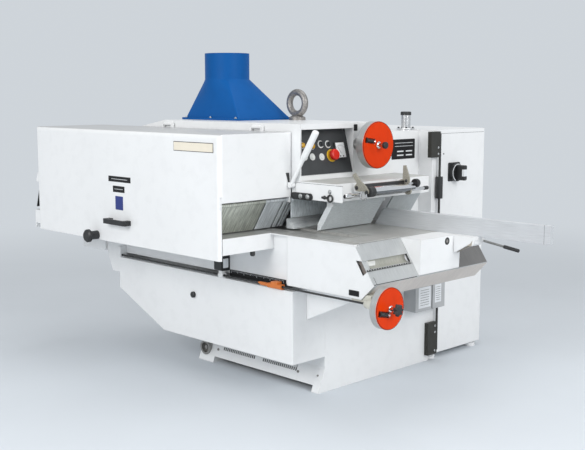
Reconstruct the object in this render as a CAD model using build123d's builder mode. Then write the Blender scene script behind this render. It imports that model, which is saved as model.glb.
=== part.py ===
"""Chain-feed rip saw with a lift-up hood, an overarm, a fence and an electrical cabinet.

Millimetres. +X points to the infeed end, +Y to the cabinet at the back, +Z up.
The origin is on the floor, under the middle of the machine's box.
"""

import os
from math import atan2, cos, degrees, hypot, pi, radians, sin, tan

from build123d import *

# Clearances
running_gap = 0.05
seat_gap = 0.3
free_gap = 3

# Base on the floor
base_left = -550
base_right = 425
base_front = -390
base_back = 490
base_top_drop = 254
base_wall = 12
plinth_flare = 50
plinth_top = 130
foot_left = 130
foot_right = 52
foot_depth = 120
arch_height = 34
boss_radius = 42
boss_height = 74
vent_centres = (-228, 102)
vent_count = 18
vent_width = 8
vent_height = 18
vent_pitch = 15
vent_rise = 100

# Front cover of the base
cover_front = -628
cover_left = -1069
cover_bottom = 190
cover_top_drop = 282
cover_slant_x = -634
cover_slant_drop = 468
cover_wall = 4
cover_corner = 6
cover_knob_x = -354
cover_knob_z = 440
cover_knob_radius = 17

# Table, bed and feed chain
table_height = 850
bed_left = -1224
bed_front = -604
bed_back = -290
bed_wall = 16
table_front = -628
table_lip_left = 269
table_lip = 8
table_plate = 30
table_right = 830
table_back = 300
chain_width = 270
chain_y = -447
link_height = 36
link_gap = 2
chain_radius = 85
links_per_turn = 8
links_per_run = 27
idler_x = 720
cut_groove_width = 104
cut_groove_depth = 10
deck_thickness = 24
drum_shaft_radius = 20
bed_foot_drop = 128
bed_foot_taper = 52
bed_foot_inset = 100
gusset_thickness = 12
gusset_y = -520
gusset_reach = 375
gusset_depth = 186

# Infeed nose
nose_sheet = 4
nose_run = 120
nose_drop = 178
tray_back_x = 805
tray_knee_x = 879
tray_side = 284
window_high_drop = 72
window_low_drop = 109
end_block_front = -290
end_block_back = 30
end_block_x = 962
end_block_low_drop = 172
skirt_left = 376
skirt_wall = 3

# Outfeed table beside the bed
outfeed_left = -1480
outfeed_front = -947
outfeed_depth = 82
outfeed_end_depth = 108
outfeed_wall = 10

# Column and overarm
column_left = -720
column_right = 332
column_front = 120
column_wall = 12
overarm_bottom_rise = 256
overarm_top_rise = 546
overarm_left = -1250
overarm_front = -480
overarm_back = 100
overarm_slope_x = -790
overarm_slope_drop = 85
overarm_wall = 10
shoulder_top_rise = 490

# Control panel on the overarm's infeed end
panel_bottom_rise = 280
panel_rise = 236
panel_lean = 64
panel_low_y = -472
panel_high_y = -78
panel_plate = 4
panel_depth = 6
panel_bay = 40
button_radius = 11
button_travel = 4
selector_radius = 14
e_stop_radius = 29

# Guard block under the panel
guard_left = 272
guard_right = 575
guard_bottom_rise = 166
guard_back = 275
guard_wall = 8
deflector_lead = 32
deflector_gap = 8
deflector_plate = 10

# Anti-kickback fingers
finger_pivot_x = 480
finger_pivot_rise = 148
finger_tip_x = 384
finger_tip_gap = 1
finger_thickness = 10
finger_pitch = 12
finger_count = 33
finger_width = 32
finger_shaft_radius = 10
finger_start = -409
finger_lug = 8
lever_x = 286
lever_rise = 236
lever_length = 330
lever_lean = 32.6
lever_thin = 10
lever_thick = 17

# Hold-down roller
hold_pivot_x = 608
hold_pivot_rise = 233
hold_roller_x = 675
hold_roller_rise = 216
hold_roller_radius = 24
hold_cap_radius = 27
hold_low_y = -352
hold_high_y = 14
hold_plate = 8
hold_pin_radius = 8
hold_tip_rise = 314
hold_handle_reaches = (110, 168)

# Front hood
hood_left = -1416
hood_right = 269
hood_front = -964
hood_back = -484
hood_bottom_drop = 110
hood_top_rise = 504
hood_opening_top_rise = 173
hood_wall = 4
hood_corner = 24
hood_return = 14
hinge_y = -490
hinge_rise = 524
hinge_pin_radius = 5
hinge_barrel_radius = 10
hinge_width = 70
hinge_lug = 14
hinge_places = (20, -740)
handle_x = -563
handle_rise = 10
handle_length = 200
handle_reach = 46
handle_width = 26
latch_x = -785
latch_drop = 84
latch_reach = 76
latch_neck_radius = 24
latch_head_radius = 36
curtain_x = 245
curtain_rise = 158
curtain_plate = 8
curtain_rod_radius = 8

# Saw arbor, blades and motor
arbor_x = -560
arbor_rise = 176
arbor_radius = 25
arbor_end = -545
housing_radius = 70
housing_front = -365
blade_radius = 180
blade_thickness = 3.2
blade_pitch = 40
blade_count = 3
blade_teeth = 24
blade_tooth_depth = 11
blade_first_y = -490
collar_radius = 45
motor_radius = 150
motor_length = 370
motor_flange_radius = 190
motor_fin = 18
terminal_start = 90
terminal_length = 120

# Pressure units on both sides of the blades
pressure_front_span = (-345, 60)
pressure_rear_span = (-1190, -775)
pressure_low_y = -560
pressure_high_y = -340
pressure_plate_rise = 192
pressure_plate = 20
pressure_post_radius = 18
post_spacing = 190
pressure_post_top_rise = 480
pressure_roller_radius = 40
pressure_roller_drop = 58
pressure_cheek = 14
pressure_sleeve_radius = 28

# Upper handwheel
upper_wheel_y = -50
upper_wheel_rise = 430
upper_wheel_radius = 124
upper_wheel_face = 485
upper_wheel_depth = 48
upper_bay = (-68, 24)
upper_bay_tilt = -8
wheel_rim = 8
wheel_disc = 14
wheel_shaft_radius = 15
wheel_boss_length = 60
wheel_boss_radius = 30
grip_radius = 10
grip_length = 62
grip_bay = 4
grip_pin_radius = 4

# Setting shaft under the table with its lower handwheel
setting_y = -634
setting_drop = 266
setting_radius = 8
setting_left = -1045
lower_wheel_radius = 98
lower_wheel_face = 1060
lower_wheel_depth = 40
lower_bay = (-44, -20)
lower_bay_tilt = -12
bracket_cone_x = 909
bracket_cone_radius = 38
nut_x = 312
nut_length = 100
nut_width = 30
scale_low_drop = 252
scale_thickness = 8
counter_x = -105
counter_width = 60
counter_low_drop = 238
counter_height = 80
counter_depth = 60

# Fence
fence_front = 10
fence_thickness = 26
fence_height = 91
fence_right = 1480
fence_finger_gap = 30
carrier_length = 110
carrier_depth = 46
carrier_front = -28
carrier_plate = 12
carrier_gusset = 93
fence_lever_radius = 6
fence_lever_length = 220
fence_lever_droop = 8
fence_grip_length = 85
fence_grip_radius = 9

# Fittings on top
dust_width = 505
dust_depth = 434
dust_y = -113
dust_flange = 12
dust_inset = 16
dust_margin = 60
dust_collar_shift = (-40, -43)
dust_neck_rise = 781
dust_top_rise = 931
dust_collar_radius = 131
dust_wall = 4
eye_x = -200
eye_y = 30
eye_ring_radius = 62
eye_bar_radius = 19
eye_foot_radius = 48
eye_foot = 24
pillar_x = 275
pillar_y = 436
pillar_radius = 27.5
pillar_flange_radius = 52
pillar_flange = 12
pillar_height = 73
pillar_cap_radius = 31
pillar_cap_height = 38

# Electrical cabinet
cabinet_left = -330
cabinet_back = 1010
cabinet_cowl = 30
cabinet_low = 30
cabinet_top_rise = 493
cabinet_wall = 4
cabinet_foot_radius = 34
cabinet_foot_stem = 12
cabinet_foot_inset = 60
door_thickness = 20
door_low_y = 560
hinge_rod_radius = 7
hinge_rod_x = 447
hinge_rod_y = 536
hinge_cover_width = 85
hinge_cover_depth = 26
hinge_cover_lift = 38
hinge_cover_lower = 190
hinge_cover_upper = 146
hinge_cover_drop = 9
sleeve_radius = 20
sleeve_low_rise = 101
sleeve_high_rise = 226
switch_y = 703
switch_rise = 241
switch_radius = 44
switch_reach = 42
junction_low_y = 255
junction_width = 268
junction_low_drop = 518
junction_height = 145
junction_depth = 85
gear_plate = 12
gear_side = 70
gear_low = 200
gear_high = 160
gear_depth = 90
gear_rows = 4
cowl_left = 150
cowl_right = 250
cowl_low = 420
cowl_high = 200

# Heights that go up and down with the table
base_top = table_height - base_top_drop
cover_top = table_height - cover_top_drop
window_high = table_height - window_high_drop
window_low = table_height - window_low_drop
end_block_low = table_height - end_block_low_drop
overarm_bottom = table_height + overarm_bottom_rise
overarm_top = table_height + overarm_top_rise
shoulder_top = table_height + shoulder_top_rise
panel_bottom_z = table_height + panel_bottom_rise
guard_bottom = table_height + guard_bottom_rise
finger_pivot_z = table_height + finger_pivot_rise
lever_z = table_height + lever_rise
hold_pivot_z = table_height + hold_pivot_rise
hold_roller_z = table_height + hold_roller_rise
hold_tip_z = table_height + hold_tip_rise
hood_bottom = table_height - hood_bottom_drop
hood_top = table_height + hood_top_rise
hood_opening_top = table_height + hood_opening_top_rise
hinge_z = table_height + hinge_rise
latch_z = table_height - latch_drop
curtain_z = table_height + curtain_rise
arbor_z = table_height + arbor_rise
pressure_plate_z = table_height + pressure_plate_rise
pressure_post_top = table_height + pressure_post_top_rise
upper_wheel_z = table_height + upper_wheel_rise
setting_z = table_height - setting_drop
scale_low = table_height - scale_low_drop
counter_low = table_height - counter_low_drop
dust_neck_z = table_height + dust_neck_rise
dust_top_z = table_height + dust_top_rise
cabinet_top = table_height + cabinet_top_rise
sleeve_low = table_height + sleeve_low_rise
sleeve_high = table_height + sleeve_high_rise
switch_z = table_height + switch_rise
junction_low_z = table_height - junction_low_drop
cover_slant_z = table_height - cover_slant_drop
handle_z = table_height + handle_rise
hinge_cover_high = cabinet_top - hinge_cover_drop
hinge_cover_spans = (
    (hinge_cover_lift, hinge_cover_lift + hinge_cover_lower),
    (hinge_cover_high - hinge_cover_upper, hinge_cover_high),
)

# Places worked out from the sizes above
plinth_front = base_front - plinth_flare
chain_pitch = 2 * pi * chain_radius / links_per_turn
drive_x = idler_x - links_per_run * chain_pitch
drum_z = table_height - link_height / 2 - chain_radius
chain_low_y = chain_y - chain_width / 2
chain_high_y = chain_y + chain_width / 2
drum_radius = chain_radius - link_height / 2 - seat_gap
panel_angle = degrees(atan2(panel_lean, panel_rise))
panel_length = hypot(panel_lean, panel_rise)
panel_width = panel_high_y - panel_low_y
wheel_boss_x = column_right - wheel_boss_length
panel_seat = -panel_depth * cos(radians(panel_angle))
panel_face = panel_plate + panel_seat
nose_slope = nose_run / nose_drop
nose_level_width = nose_sheet * hypot(nose_run, nose_drop) / nose_drop
nose_top_x = table_right + nose_level_width + seat_gap
finger_slope = (finger_pivot_x - finger_tip_x) / (finger_pivot_z - table_height - finger_tip_gap)
finger_end = finger_start + (finger_count - 1) * finger_pitch + finger_thickness
fence_bottom = table_height + seat_gap


def nose_x(height):
    """Outer face of the slanted infeed nose at a height."""
    return nose_top_x + (table_height - height) * nose_slope


def across(y_high):
    """Plane of a side profile, drawn in X and Z, that extrudes from y_high to the front."""
    return Plane.XZ.offset(-y_high)


def along(x_low):
    """Plane of an end profile, drawn in Y and Z, that extrudes from x_low to the infeed end."""
    return Plane.YZ.offset(x_low)


def block(x_span, y_span, z_span, mode=Mode.ADD):
    """Adds or cuts a block between low and high limits."""
    spans = (x_span, y_span, z_span)
    with Locations(tuple((low + high) / 2 for low, high in spans)):
        Box(*(high - low for low, high in spans), mode=mode)


def side_plate(points, y_low, y_high, mode=Mode.ADD):
    """Extrudes an outline in X and Z between two depths."""
    with BuildSketch(across(y_high)) as outline:
        with BuildLine():
            Polyline(*points, close=True)
        make_face()
    extrude(outline.sketch, amount=y_high - y_low, mode=mode)


def turn_x(profile, y, z, mode=Mode.ADD):
    """Turns a profile of (x, radius) points about a line along X."""
    with BuildSketch(across(y)) as section:
        with BuildLine():
            Polyline(*((x, z + radius) for x, radius in profile), close=True)
        make_face()
    revolve(section.sketch, axis=Axis((0, y, z), (1, 0, 0)), mode=mode)


def turn_y(profile, x, z, mode=Mode.ADD):
    """Turns a profile of (y, radius) points about a line along Y."""
    with BuildSketch(Plane.XY.offset(z)) as section:
        with BuildLine():
            Polyline(*((x + radius, y) for y, radius in profile), close=True)
        make_face()
    revolve(section.sketch, axis=Axis((x, 0, z), (0, 1, 0)), mode=mode)


def turn_z(profile, x, y, mode=Mode.ADD):
    """Turns a profile of (z, radius) points about a line along Z."""
    with BuildSketch(across(y)) as section:
        with BuildLine():
            Polyline(*((x + radius, z) for z, radius in profile), close=True)
        make_face()
    revolve(section.sketch, axis=Axis((x, y, 0), (0, 0, 1)), mode=mode)


def rod(low, high, radius):
    """Profile of a plain rod, for the turning functions."""
    return [(low, 0), (low, radius), (high, radius), (high, 0)]


def panel_plane(y, up, out=0):
    """Plane on the leaning control panel: up is measured along the panel, out from its face."""
    lean = radians(panel_angle)
    x = column_right - up * sin(lean) + out * cos(lean)
    z = panel_bottom_z + up * cos(lean) + out * sin(lean)
    return Plane(origin=(x, y, z), x_dir=(0, 1, 0), z_dir=(cos(lean), 0, sin(lean)))


# Welded base on two feet, open below
with BuildPart() as base_frame:
    with BuildSketch(along(base_left)):
        with BuildLine():
            Polyline(
                (plinth_front, 0),
                (base_front, plinth_top),
                (base_front, base_top),
                (base_back, base_top),
                (base_back, 0),
                close=True,
            )
        make_face()
    extrude(amount=base_right - base_left)
    bottom_face = base_frame.faces().sort_by(Axis.Z)[0]
    offset(amount=-base_wall, openings=bottom_face, kind=Kind.INTERSECTION)
    foot_spans = ((base_left, base_left + foot_left), (base_right - foot_right, base_right))
    for foot_low, foot_high in foot_spans:
        with BuildSketch(along(foot_low)) as front_foot:
            with BuildLine():
                Polyline(
                    (plinth_front, 0),
                    (plinth_front + plinth_flare * arch_height / plinth_top, arch_height),
                    (plinth_front + foot_depth, arch_height),
                    (plinth_front + foot_depth, 0),
                    close=True,
                )
            make_face()
        extrude(front_foot.sketch, amount=foot_high - foot_low)
        block((foot_low, foot_high), (base_back - foot_depth, base_back), (0, arch_height))
    block(
        (base_left + foot_left, base_right - foot_right),
        (plinth_front - 1, base_back + 1),
        (-1, arch_height),
        mode=Mode.SUBTRACT,
    )
    with BuildSketch(across(base_front + base_wall)) as vents:
        for vent_x in vent_centres:
            with Locations((vent_x, vent_rise)):
                with GridLocations(vent_pitch, 1, vent_count, 1):
                    Rectangle(vent_width, vent_height)
    extrude(vents.sketch, amount=base_wall + plinth_flare + 10, mode=Mode.SUBTRACT)
    boss_x = base_left + boss_radius + 6
    boss_face = plinth_front + plinth_flare * (boss_height - boss_radius) / plinth_top - 4
    turn_y(rod(boss_face, base_front + 1, boss_radius), boss_x, boss_height)
    turn_y(
        rod(boss_face - 1, boss_face + 26, boss_radius * 0.72),
        boss_x,
        boss_height,
        mode=Mode.SUBTRACT,
    )
    turn_y(rod(boss_face + 8, boss_face + 27, boss_radius * 0.3), boss_x, boss_height)

# Sheet-metal cover in front of the base
with BuildPart() as base_front_cover:
    side_plate(
        [
            (base_right, cover_bottom),
            (cover_slant_x, cover_bottom),
            (cover_left, cover_slant_z),
            (cover_left, cover_top),
            (base_right, cover_top),
        ],
        cover_front,
        base_front,
    )
    front_uprights = base_front_cover.edges().filter_by(Axis.Z).group_by(Axis.Y)[0]
    fillet(front_uprights, cover_corner)
    back_face = base_front_cover.faces().sort_by(Axis.Y)[-1]
    offset(amount=-cover_wall, openings=back_face, kind=Kind.INTERSECTION)
    turn_y(
        rod(cover_front - 1, cover_front + cover_wall + 1, cover_knob_radius / 2 + running_gap),
        cover_knob_x,
        cover_knob_z,
        mode=Mode.SUBTRACT,
    )

with BuildPart() as cover_lock_knob:
    turn_y(
        [
            (cover_front - 16, 0),
            (cover_front - 16, cover_knob_radius - 5),
            (cover_front - 12, cover_knob_radius),
            (cover_front - seat_gap, cover_knob_radius),
            (cover_front - seat_gap, cover_knob_radius / 2),
            (cover_front + cover_wall + 10, cover_knob_radius / 2),
            (cover_front + cover_wall + 10, 0),
        ],
        cover_knob_x,
        cover_knob_z,
    )
    block(
        (cover_knob_x - 3, cover_knob_x + 3),
        (cover_front + cover_wall + 2, cover_front + cover_wall + 8),
        (cover_knob_z - 22, cover_knob_z + 22),
    )

# Cast table with the chain trough
with BuildPart() as table_casting:
    with BuildSketch(along(bed_left)):
        with BuildLine():
            Polyline(
                (bed_front, table_height),
                (bed_front, base_top),
                (bed_back, base_top),
                (bed_back, table_height),
                (bed_back - bed_wall, table_height),
                (bed_back - bed_wall, base_top + bed_wall),
                (bed_front + bed_wall, base_top + bed_wall),
                (bed_front + bed_wall, table_height),
                close=True,
            )
        make_face()
    extrude(amount=table_right - bed_left)
    block((bed_left, bed_left + bed_wall), (bed_front, bed_back), (base_top, table_height - link_height))
    deck_top = table_height - link_height
    block(
        (drive_x + chain_radius, idler_x - chain_radius),
        (bed_front, bed_back),
        (deck_top - deck_thickness, deck_top),
    )
    return_low = drum_z - chain_radius - link_height / 2
    for ledge_span in ((bed_front, chain_low_y + 30), (chain_high_y - 30, bed_back)):
        block((drive_x, idler_x), ledge_span, (return_low - 10, return_low))
    block(
        (table_lip_left, table_right),
        (table_front, bed_front),
        (table_height - table_lip, table_height),
    )
    with BuildSketch(Plane.XY.offset(table_height - table_plate)):
        with BuildLine():
            Polyline(
                (bed_left, bed_back),
                (table_right, bed_back),
                (table_right, table_back),
                (column_right, table_back),
                (column_right, column_front),
                (bed_left, column_front),
                close=True,
            )
        make_face()
    extrude(amount=table_plate)
    block(
        (base_left + base_wall, base_right - base_wall),
        (column_front - 2 * bed_wall, column_front - bed_wall),
        (base_top, table_height - table_plate),
    )
    side_plate(
        [
            (base_right + seat_gap, base_top),
            (base_right + seat_gap, base_top - gusset_depth),
            (base_right + gusset_reach, base_top - bed_wall),
            (base_right + gusset_reach, base_top),
        ],
        gusset_y - gusset_thickness / 2,
        gusset_y + gusset_thickness / 2,
    )
    side_plate(
        [
            (bed_left, base_top),
            (bed_left, base_top - 20),
            (bed_left + bed_foot_taper, base_top - bed_foot_drop),
            (cover_left - free_gap, base_top - bed_foot_drop),
            (cover_left - free_gap, base_top),
        ],
        bed_front,
        bed_back - bed_foot_inset,
    )
    for drum_x in (idler_x, drive_x):
        turn_y(
            rod(bed_front - 1, bed_back + 1, drum_shaft_radius + running_gap),
            drum_x,
            drum_z,
            mode=Mode.SUBTRACT,
        )

# One chain link, then the whole chain round both drums
with BuildPart() as chain_link:
    link_half = (chain_pitch - link_gap) / 2
    link_foot = (chain_radius - link_height / 2) * tan(pi / links_per_turn) - link_gap / 2
    with BuildSketch(across(chain_width / 2)):
        with BuildLine():
            Polyline(
                (-link_half, link_height / 2),
                (link_half, link_height / 2),
                (link_half, 0),
                (link_foot, -link_height / 2),
                (-link_foot, -link_height / 2),
                (-link_half, 0),
                close=True,
            )
        make_face()
    extrude(amount=chain_width)
    with Locations((0, 0, link_height / 2)):
        Box(chain_pitch, cut_groove_width, 2 * cut_groove_depth, mode=Mode.SUBTRACT)

chain_places = []
for step in range(links_per_run):
    link_x = drive_x + (step + 0.5) * chain_pitch
    chain_places.append(Location((link_x, chain_y, drum_z + chain_radius)))
    chain_places.append(Location((link_x, chain_y, drum_z - chain_radius), (0, 180, 0)))
for step in range(links_per_turn):
    angle = 90 - (step + 0.5) * 360 / links_per_turn
    drum_x = idler_x if abs(angle) < 90 else drive_x
    link_x = drum_x + chain_radius * cos(radians(angle))
    link_z = drum_z + chain_radius * sin(radians(angle))
    chain_places.append(Location((link_x, chain_y, link_z), (0, 90 - angle, 0)))

with BuildPart() as feed_chain:
    with Locations(*chain_places):
        add(chain_link.part)

# Drums that carry the chain: the drive drum's shaft reaches into the gearbox
drum_low = chain_low_y + 4
drum_high = chain_high_y - 4
gearbox_depth = 108


def drum_profile(shaft_end):
    """Profile of a chain drum with three grooves and a through shaft."""
    groove = 5
    land = (drum_high - drum_low) / 7
    points = [(bed_front, 0), (bed_front, drum_shaft_radius), (drum_low, drum_shaft_radius)]
    for index in range(7):
        radius = drum_radius if index % 2 == 0 else drum_radius - groove
        points += [(drum_low + index * land, radius), (drum_low + (index + 1) * land, radius)]
    points += [(drum_high, drum_shaft_radius), (shaft_end, drum_shaft_radius), (shaft_end, 0)]
    return points


with BuildPart() as idler_drum:
    turn_y(drum_profile(bed_back), idler_x, drum_z)

with BuildPart() as drive_drum:
    turn_y(drum_profile(bed_back + gearbox_depth / 2), drive_x, drum_z)

gearbox_half = 78
feed_motor_radius = 66
feed_motor_length = 285
with BuildPart() as feed_gearmotor:
    block(
        (drive_x - gearbox_half, drive_x + gearbox_half),
        (bed_back, bed_back + gearbox_depth),
        (drum_z - gearbox_half, drum_z + gearbox_half - 12),
    )
    fillet(feed_gearmotor.edges().filter_by(Axis.Y), 14)
    turn_x(
        [
            (drive_x + gearbox_half - 2, 0),
            (drive_x + gearbox_half - 2, feed_motor_radius - 14),
            (drive_x + gearbox_half + 14, feed_motor_radius - 14),
            (drive_x + gearbox_half + 14, feed_motor_radius - 6),
            (drive_x + gearbox_half + feed_motor_length - 50, feed_motor_radius - 6),
            (drive_x + gearbox_half + feed_motor_length - 50, feed_motor_radius - 2),
            (drive_x + gearbox_half + feed_motor_length, feed_motor_radius - 2),
            (drive_x + gearbox_half + feed_motor_length, 0),
        ],
        bed_back + gearbox_depth / 2 + 14,
        drum_z,
    )
    turn_y(
        rod(bed_back - 1, bed_back + gearbox_depth / 2 + 2, drum_shaft_radius + running_gap),
        drive_x,
        drum_z,
        mode=Mode.SUBTRACT,
    )

# Table beside the bed, under the hood
with BuildPart() as outfeed_table:
    block(
        (outfeed_left, table_lip_left),
        (outfeed_front, bed_front),
        (table_height - outfeed_depth, table_height),
    )
    under_face = outfeed_table.faces().sort_by(Axis.Z)[0]
    offset(amount=-outfeed_wall, openings=under_face, kind=Kind.INTERSECTION)
    block(
        (outfeed_left, outfeed_left + outfeed_wall),
        (outfeed_front, bed_front),
        (table_height - outfeed_end_depth, table_height - outfeed_wall / 2),
    )

# Skirt in front of the infeed end of the bed
skirt_top = table_height - table_lip
with BuildPart() as table_front_skirt:
    side_plate(
        [
            (skirt_left, base_top),
            (tray_knee_x, base_top),
            (nose_x(base_top + tray_knee_x - tray_back_x), base_top + tray_knee_x - tray_back_x),
            (nose_x(skirt_top), skirt_top),
            (skirt_left, skirt_top),
        ],
        table_front,
        bed_front,
    )
    left_upright = table_front_skirt.edges().filter_by(Axis.Z).sort_by(Axis.Y)[0]
    fillet(left_upright, (bed_front - table_front) * 0.7)
    hidden_face = table_front_skirt.faces().sort_by(Axis.Y)[-1]
    offset(amount=-skirt_wall, openings=hidden_face, kind=Kind.INTERSECTION)
    side_plate(
        [
            (nose_x(window_high) - 38, window_high),
            (nose_x(window_high) + 6, window_high),
            (nose_x(window_low - 6) + 6, window_low - 6),
            (nose_x(window_low - 30) - 40, window_low - 30),
        ],
        table_front - 1,
        bed_front + 1,
        mode=Mode.SUBTRACT,
    )

# Bent sheet that closes the infeed nose, with the window in front of the chain
tray_tip_z = table_height - nose_drop
with BuildPart() as infeed_nose_plate:
    with BuildSketch(across(tray_side)):
        with BuildLine():
            Polyline(
                (nose_top_x, table_height),
                (nose_x(tray_tip_z), tray_tip_z),
                (tray_knee_x, base_top - nose_sheet),
                (tray_back_x, base_top - nose_sheet),
            )
            offset(amount=nose_sheet, side=Side.RIGHT)
        make_face()
    extrude(amount=tray_side - bed_front)
    block(
        (nose_x(window_high) - 20, nose_x(window_low) + 20),
        (bed_front + 6, end_block_front - 10),
        (window_low, window_high),
        mode=Mode.SUBTRACT,
    )

# White end block beside the chain mouth
with BuildPart() as infeed_end_block:
    side_plate(
        [
            (nose_top_x, table_height),
            (end_block_x, table_height),
            (end_block_x - 5, end_block_low),
            (nose_x(end_block_low), end_block_low),
        ],
        end_block_front,
        end_block_back,
    )
    slant_face = infeed_end_block.faces().sort_by(Axis((0, 0, 0), (nose_drop, 0, nose_run)))[0]
    offset(amount=-skirt_wall, openings=slant_face, kind=Kind.INTERSECTION)

# Hollow column behind the throat, with a bore for the arbor housing
with BuildPart() as column:
    side_plate(
        [
            (column_right, base_top),
            (base_left, base_top),
            (column_left, table_height - table_plate),
            (column_left, overarm_bottom),
            (column_right, overarm_bottom),
        ],
        column_front,
        base_back,
    )
    top_face = column.faces().sort_by(Axis.Z)[-1]
    offset(amount=-column_wall, openings=top_face, kind=Kind.INTERSECTION)
    turn_y(
        rod(column_front - 1, base_back + 1, housing_radius + running_gap),
        arbor_x,
        arbor_z,
        mode=Mode.SUBTRACT,
    )

# Places of the controls on the panel: Y and distance up the panel
button_places = {"green_button": (-420, 99), "black_button": (-365, 97), "white_button": (-295, 94)}
selector_places = {"left_selector": (-287, 161), "right_selector": (-232, 159)}
e_stop_place = (-221, 98)
meter_place = (-153, 123)
meter_size = (74, 88, 12)
control_hole_depth = 24

post_places = []
for span in (pressure_front_span, pressure_rear_span):
    middle = (span[0] + span[1]) / 2
    post_places += [(middle - post_spacing / 2, (pressure_low_y + pressure_high_y) / 2)]
    post_places += [(middle + post_spacing / 2, (pressure_low_y + pressure_high_y) / 2)]


def cut_control_holes():
    """Blind holes behind the panel for the stems of the controls."""
    stems = [(place, button_radius) for place in button_places.values()]
    stems += [(place, selector_radius / 2) for place in selector_places.values()]
    stems += [(e_stop_place, button_radius)]
    for (y, up), radius in stems:
        with BuildSketch(panel_plane(y, up, out=panel_plate)) as hole:
            Circle(radius + running_gap)
        extrude(hole.sketch, amount=-control_hole_depth - panel_plate, mode=Mode.SUBTRACT)


# Overarm above the throat, with guide sleeves and the panel's leaning seat
with BuildPart() as overarm_void:
    side_plate(
        [
            (column_right - overarm_wall, overarm_bottom - 1),
            (column_right - overarm_wall, overarm_top - overarm_wall),
            (overarm_slope_x, overarm_top - overarm_wall),
            (overarm_left + overarm_wall, overarm_top - overarm_slope_drop - overarm_wall),
            (overarm_left + overarm_wall, overarm_bottom - 1),
        ],
        overarm_front + overarm_wall,
        overarm_back - overarm_wall,
    )
    block(
        (column_left + overarm_wall, column_right - overarm_wall),
        (overarm_back - 2 * overarm_wall, base_back - overarm_wall),
        (overarm_bottom - 1, shoulder_top - overarm_wall),
    )

with BuildPart() as overarm:
    side_plate(
        [
            (column_right, overarm_bottom),
            (column_right, overarm_top),
            (overarm_slope_x, overarm_top),
            (overarm_left, overarm_top - overarm_slope_drop),
            (overarm_left, overarm_bottom),
        ],
        overarm_front,
        overarm_back,
    )
    block(
        (column_left, column_right),
        (overarm_back - 1, base_back),
        (overarm_bottom, shoulder_top),
    )
    add(overarm_void.part, mode=Mode.SUBTRACT)
    turn_x(rod(wheel_boss_x, column_right, wheel_boss_radius), upper_wheel_y, upper_wheel_z)
    block(
        (column_right - panel_lean - panel_bay, column_right),
        (overarm_front, panel_high_y + panel_bay),
        (panel_bottom_z - panel_bay / 2, panel_bottom_z + panel_rise + panel_bay / 2),
    )
    side_plate(
        [
            (column_right + 1, panel_bottom_z),
            (column_right - panel_depth, panel_bottom_z),
            (column_right - panel_depth - panel_lean, panel_bottom_z + panel_rise),
            (column_right + 1, panel_bottom_z + panel_rise),
        ],
        panel_low_y,
        panel_high_y,
        mode=Mode.SUBTRACT,
    )
    for post_x, post_y in post_places:
        turn_z(rod(overarm_bottom, shoulder_top, pressure_sleeve_radius), post_x, post_y)
        turn_z(
            rod(overarm_bottom - 1, shoulder_top, pressure_post_radius + running_gap),
            post_x,
            post_y,
            mode=Mode.SUBTRACT,
        )
    turn_x(
        rod(wheel_boss_x - wheel_boss_radius, column_right + 1, wheel_shaft_radius + running_gap),
        upper_wheel_y,
        upper_wheel_z,
        mode=Mode.SUBTRACT,
    )
    block(
        (arbor_x - dust_width / 2 + dust_margin, arbor_x + dust_width / 2 - dust_margin),
        (dust_y - dust_depth / 2 + dust_margin, dust_y + dust_depth / 2 - dust_margin),
        (overarm_top - 2 * overarm_wall, overarm_top + 1),
        mode=Mode.SUBTRACT,
    )
    for hinge_x in hinge_places:
        block(
            (hinge_x - hinge_width / 2, hinge_x + hinge_width / 2),
            (hinge_y, overarm_front + 1),
            (hinge_z - hinge_barrel_radius, hinge_z + hinge_barrel_radius),
        )
        turn_x(
            rod(hinge_x - hinge_width / 2, hinge_x + hinge_width / 2, hinge_barrel_radius),
            hinge_y,
            hinge_z,
        )
        turn_x(
            rod(hinge_x - hinge_width, hinge_x + hinge_width, hinge_pin_radius + running_gap),
            hinge_y,
            hinge_z,
            mode=Mode.SUBTRACT,
        )
    cut_control_holes()

# Leaning control panel and what sits on it
with BuildPart() as control_panel:
    with BuildSketch(panel_plane((panel_low_y + panel_high_y) / 2, panel_length / 2, out=panel_seat)):
        Rectangle(panel_width - 2 * seat_gap, panel_length - 8)
    extrude(amount=panel_plate)
    cut_control_holes()


def push_button(place):
    """Round button with a domed edge, its stem through the panel."""
    with BuildSketch(panel_plane(*place, out=panel_face - 14)) as stem:
        Circle(button_radius)
    extrude(stem.sketch, amount=14 + 9)


buttons = {}
for button_name, button_place in button_places.items():
    with BuildPart() as push:
        push_button(button_place)
        chamfer(push.faces().sort_by(Axis.X)[-1].edges(), 2)
    buttons[button_name] = push


def selector_knob(place):
    """Round selector with a raised finger bar."""
    with BuildSketch(panel_plane(*place, out=panel_face - 12)) as stem:
        Circle(selector_radius / 2)
    extrude(stem.sketch, amount=12 + seat_gap)
    with BuildSketch(panel_plane(*place, out=panel_face + seat_gap)) as disc:
        Circle(selector_radius)
    extrude(disc.sketch, amount=8)
    with BuildSketch(panel_plane(*place, out=panel_face + 8)) as bar:
        Rectangle(8, 2 * selector_radius - 4)
    extrude(bar.sketch, amount=12)


selectors = {}
for selector_name, selector_place in selector_places.items():
    with BuildPart() as turner:
        selector_knob(selector_place)
    selectors[selector_name] = turner

with BuildPart() as e_stop:
    with BuildSketch(panel_plane(*e_stop_place, out=panel_face - 12)):
        Circle(button_radius)
    extrude(amount=12 + 20)
    with BuildSketch(panel_plane(*e_stop_place, out=panel_face + 18)):
        Circle(e_stop_radius)
    extrude(amount=22)
    fillet(e_stop.faces().sort_by(Axis.X)[-1].edges(), 9)

with BuildPart() as panel_ammeter:
    with BuildSketch(panel_plane(*meter_place, out=panel_face)):
        RectangleRounded(meter_size[0], meter_size[1], 4)
    extrude(amount=meter_size[2])

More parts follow.
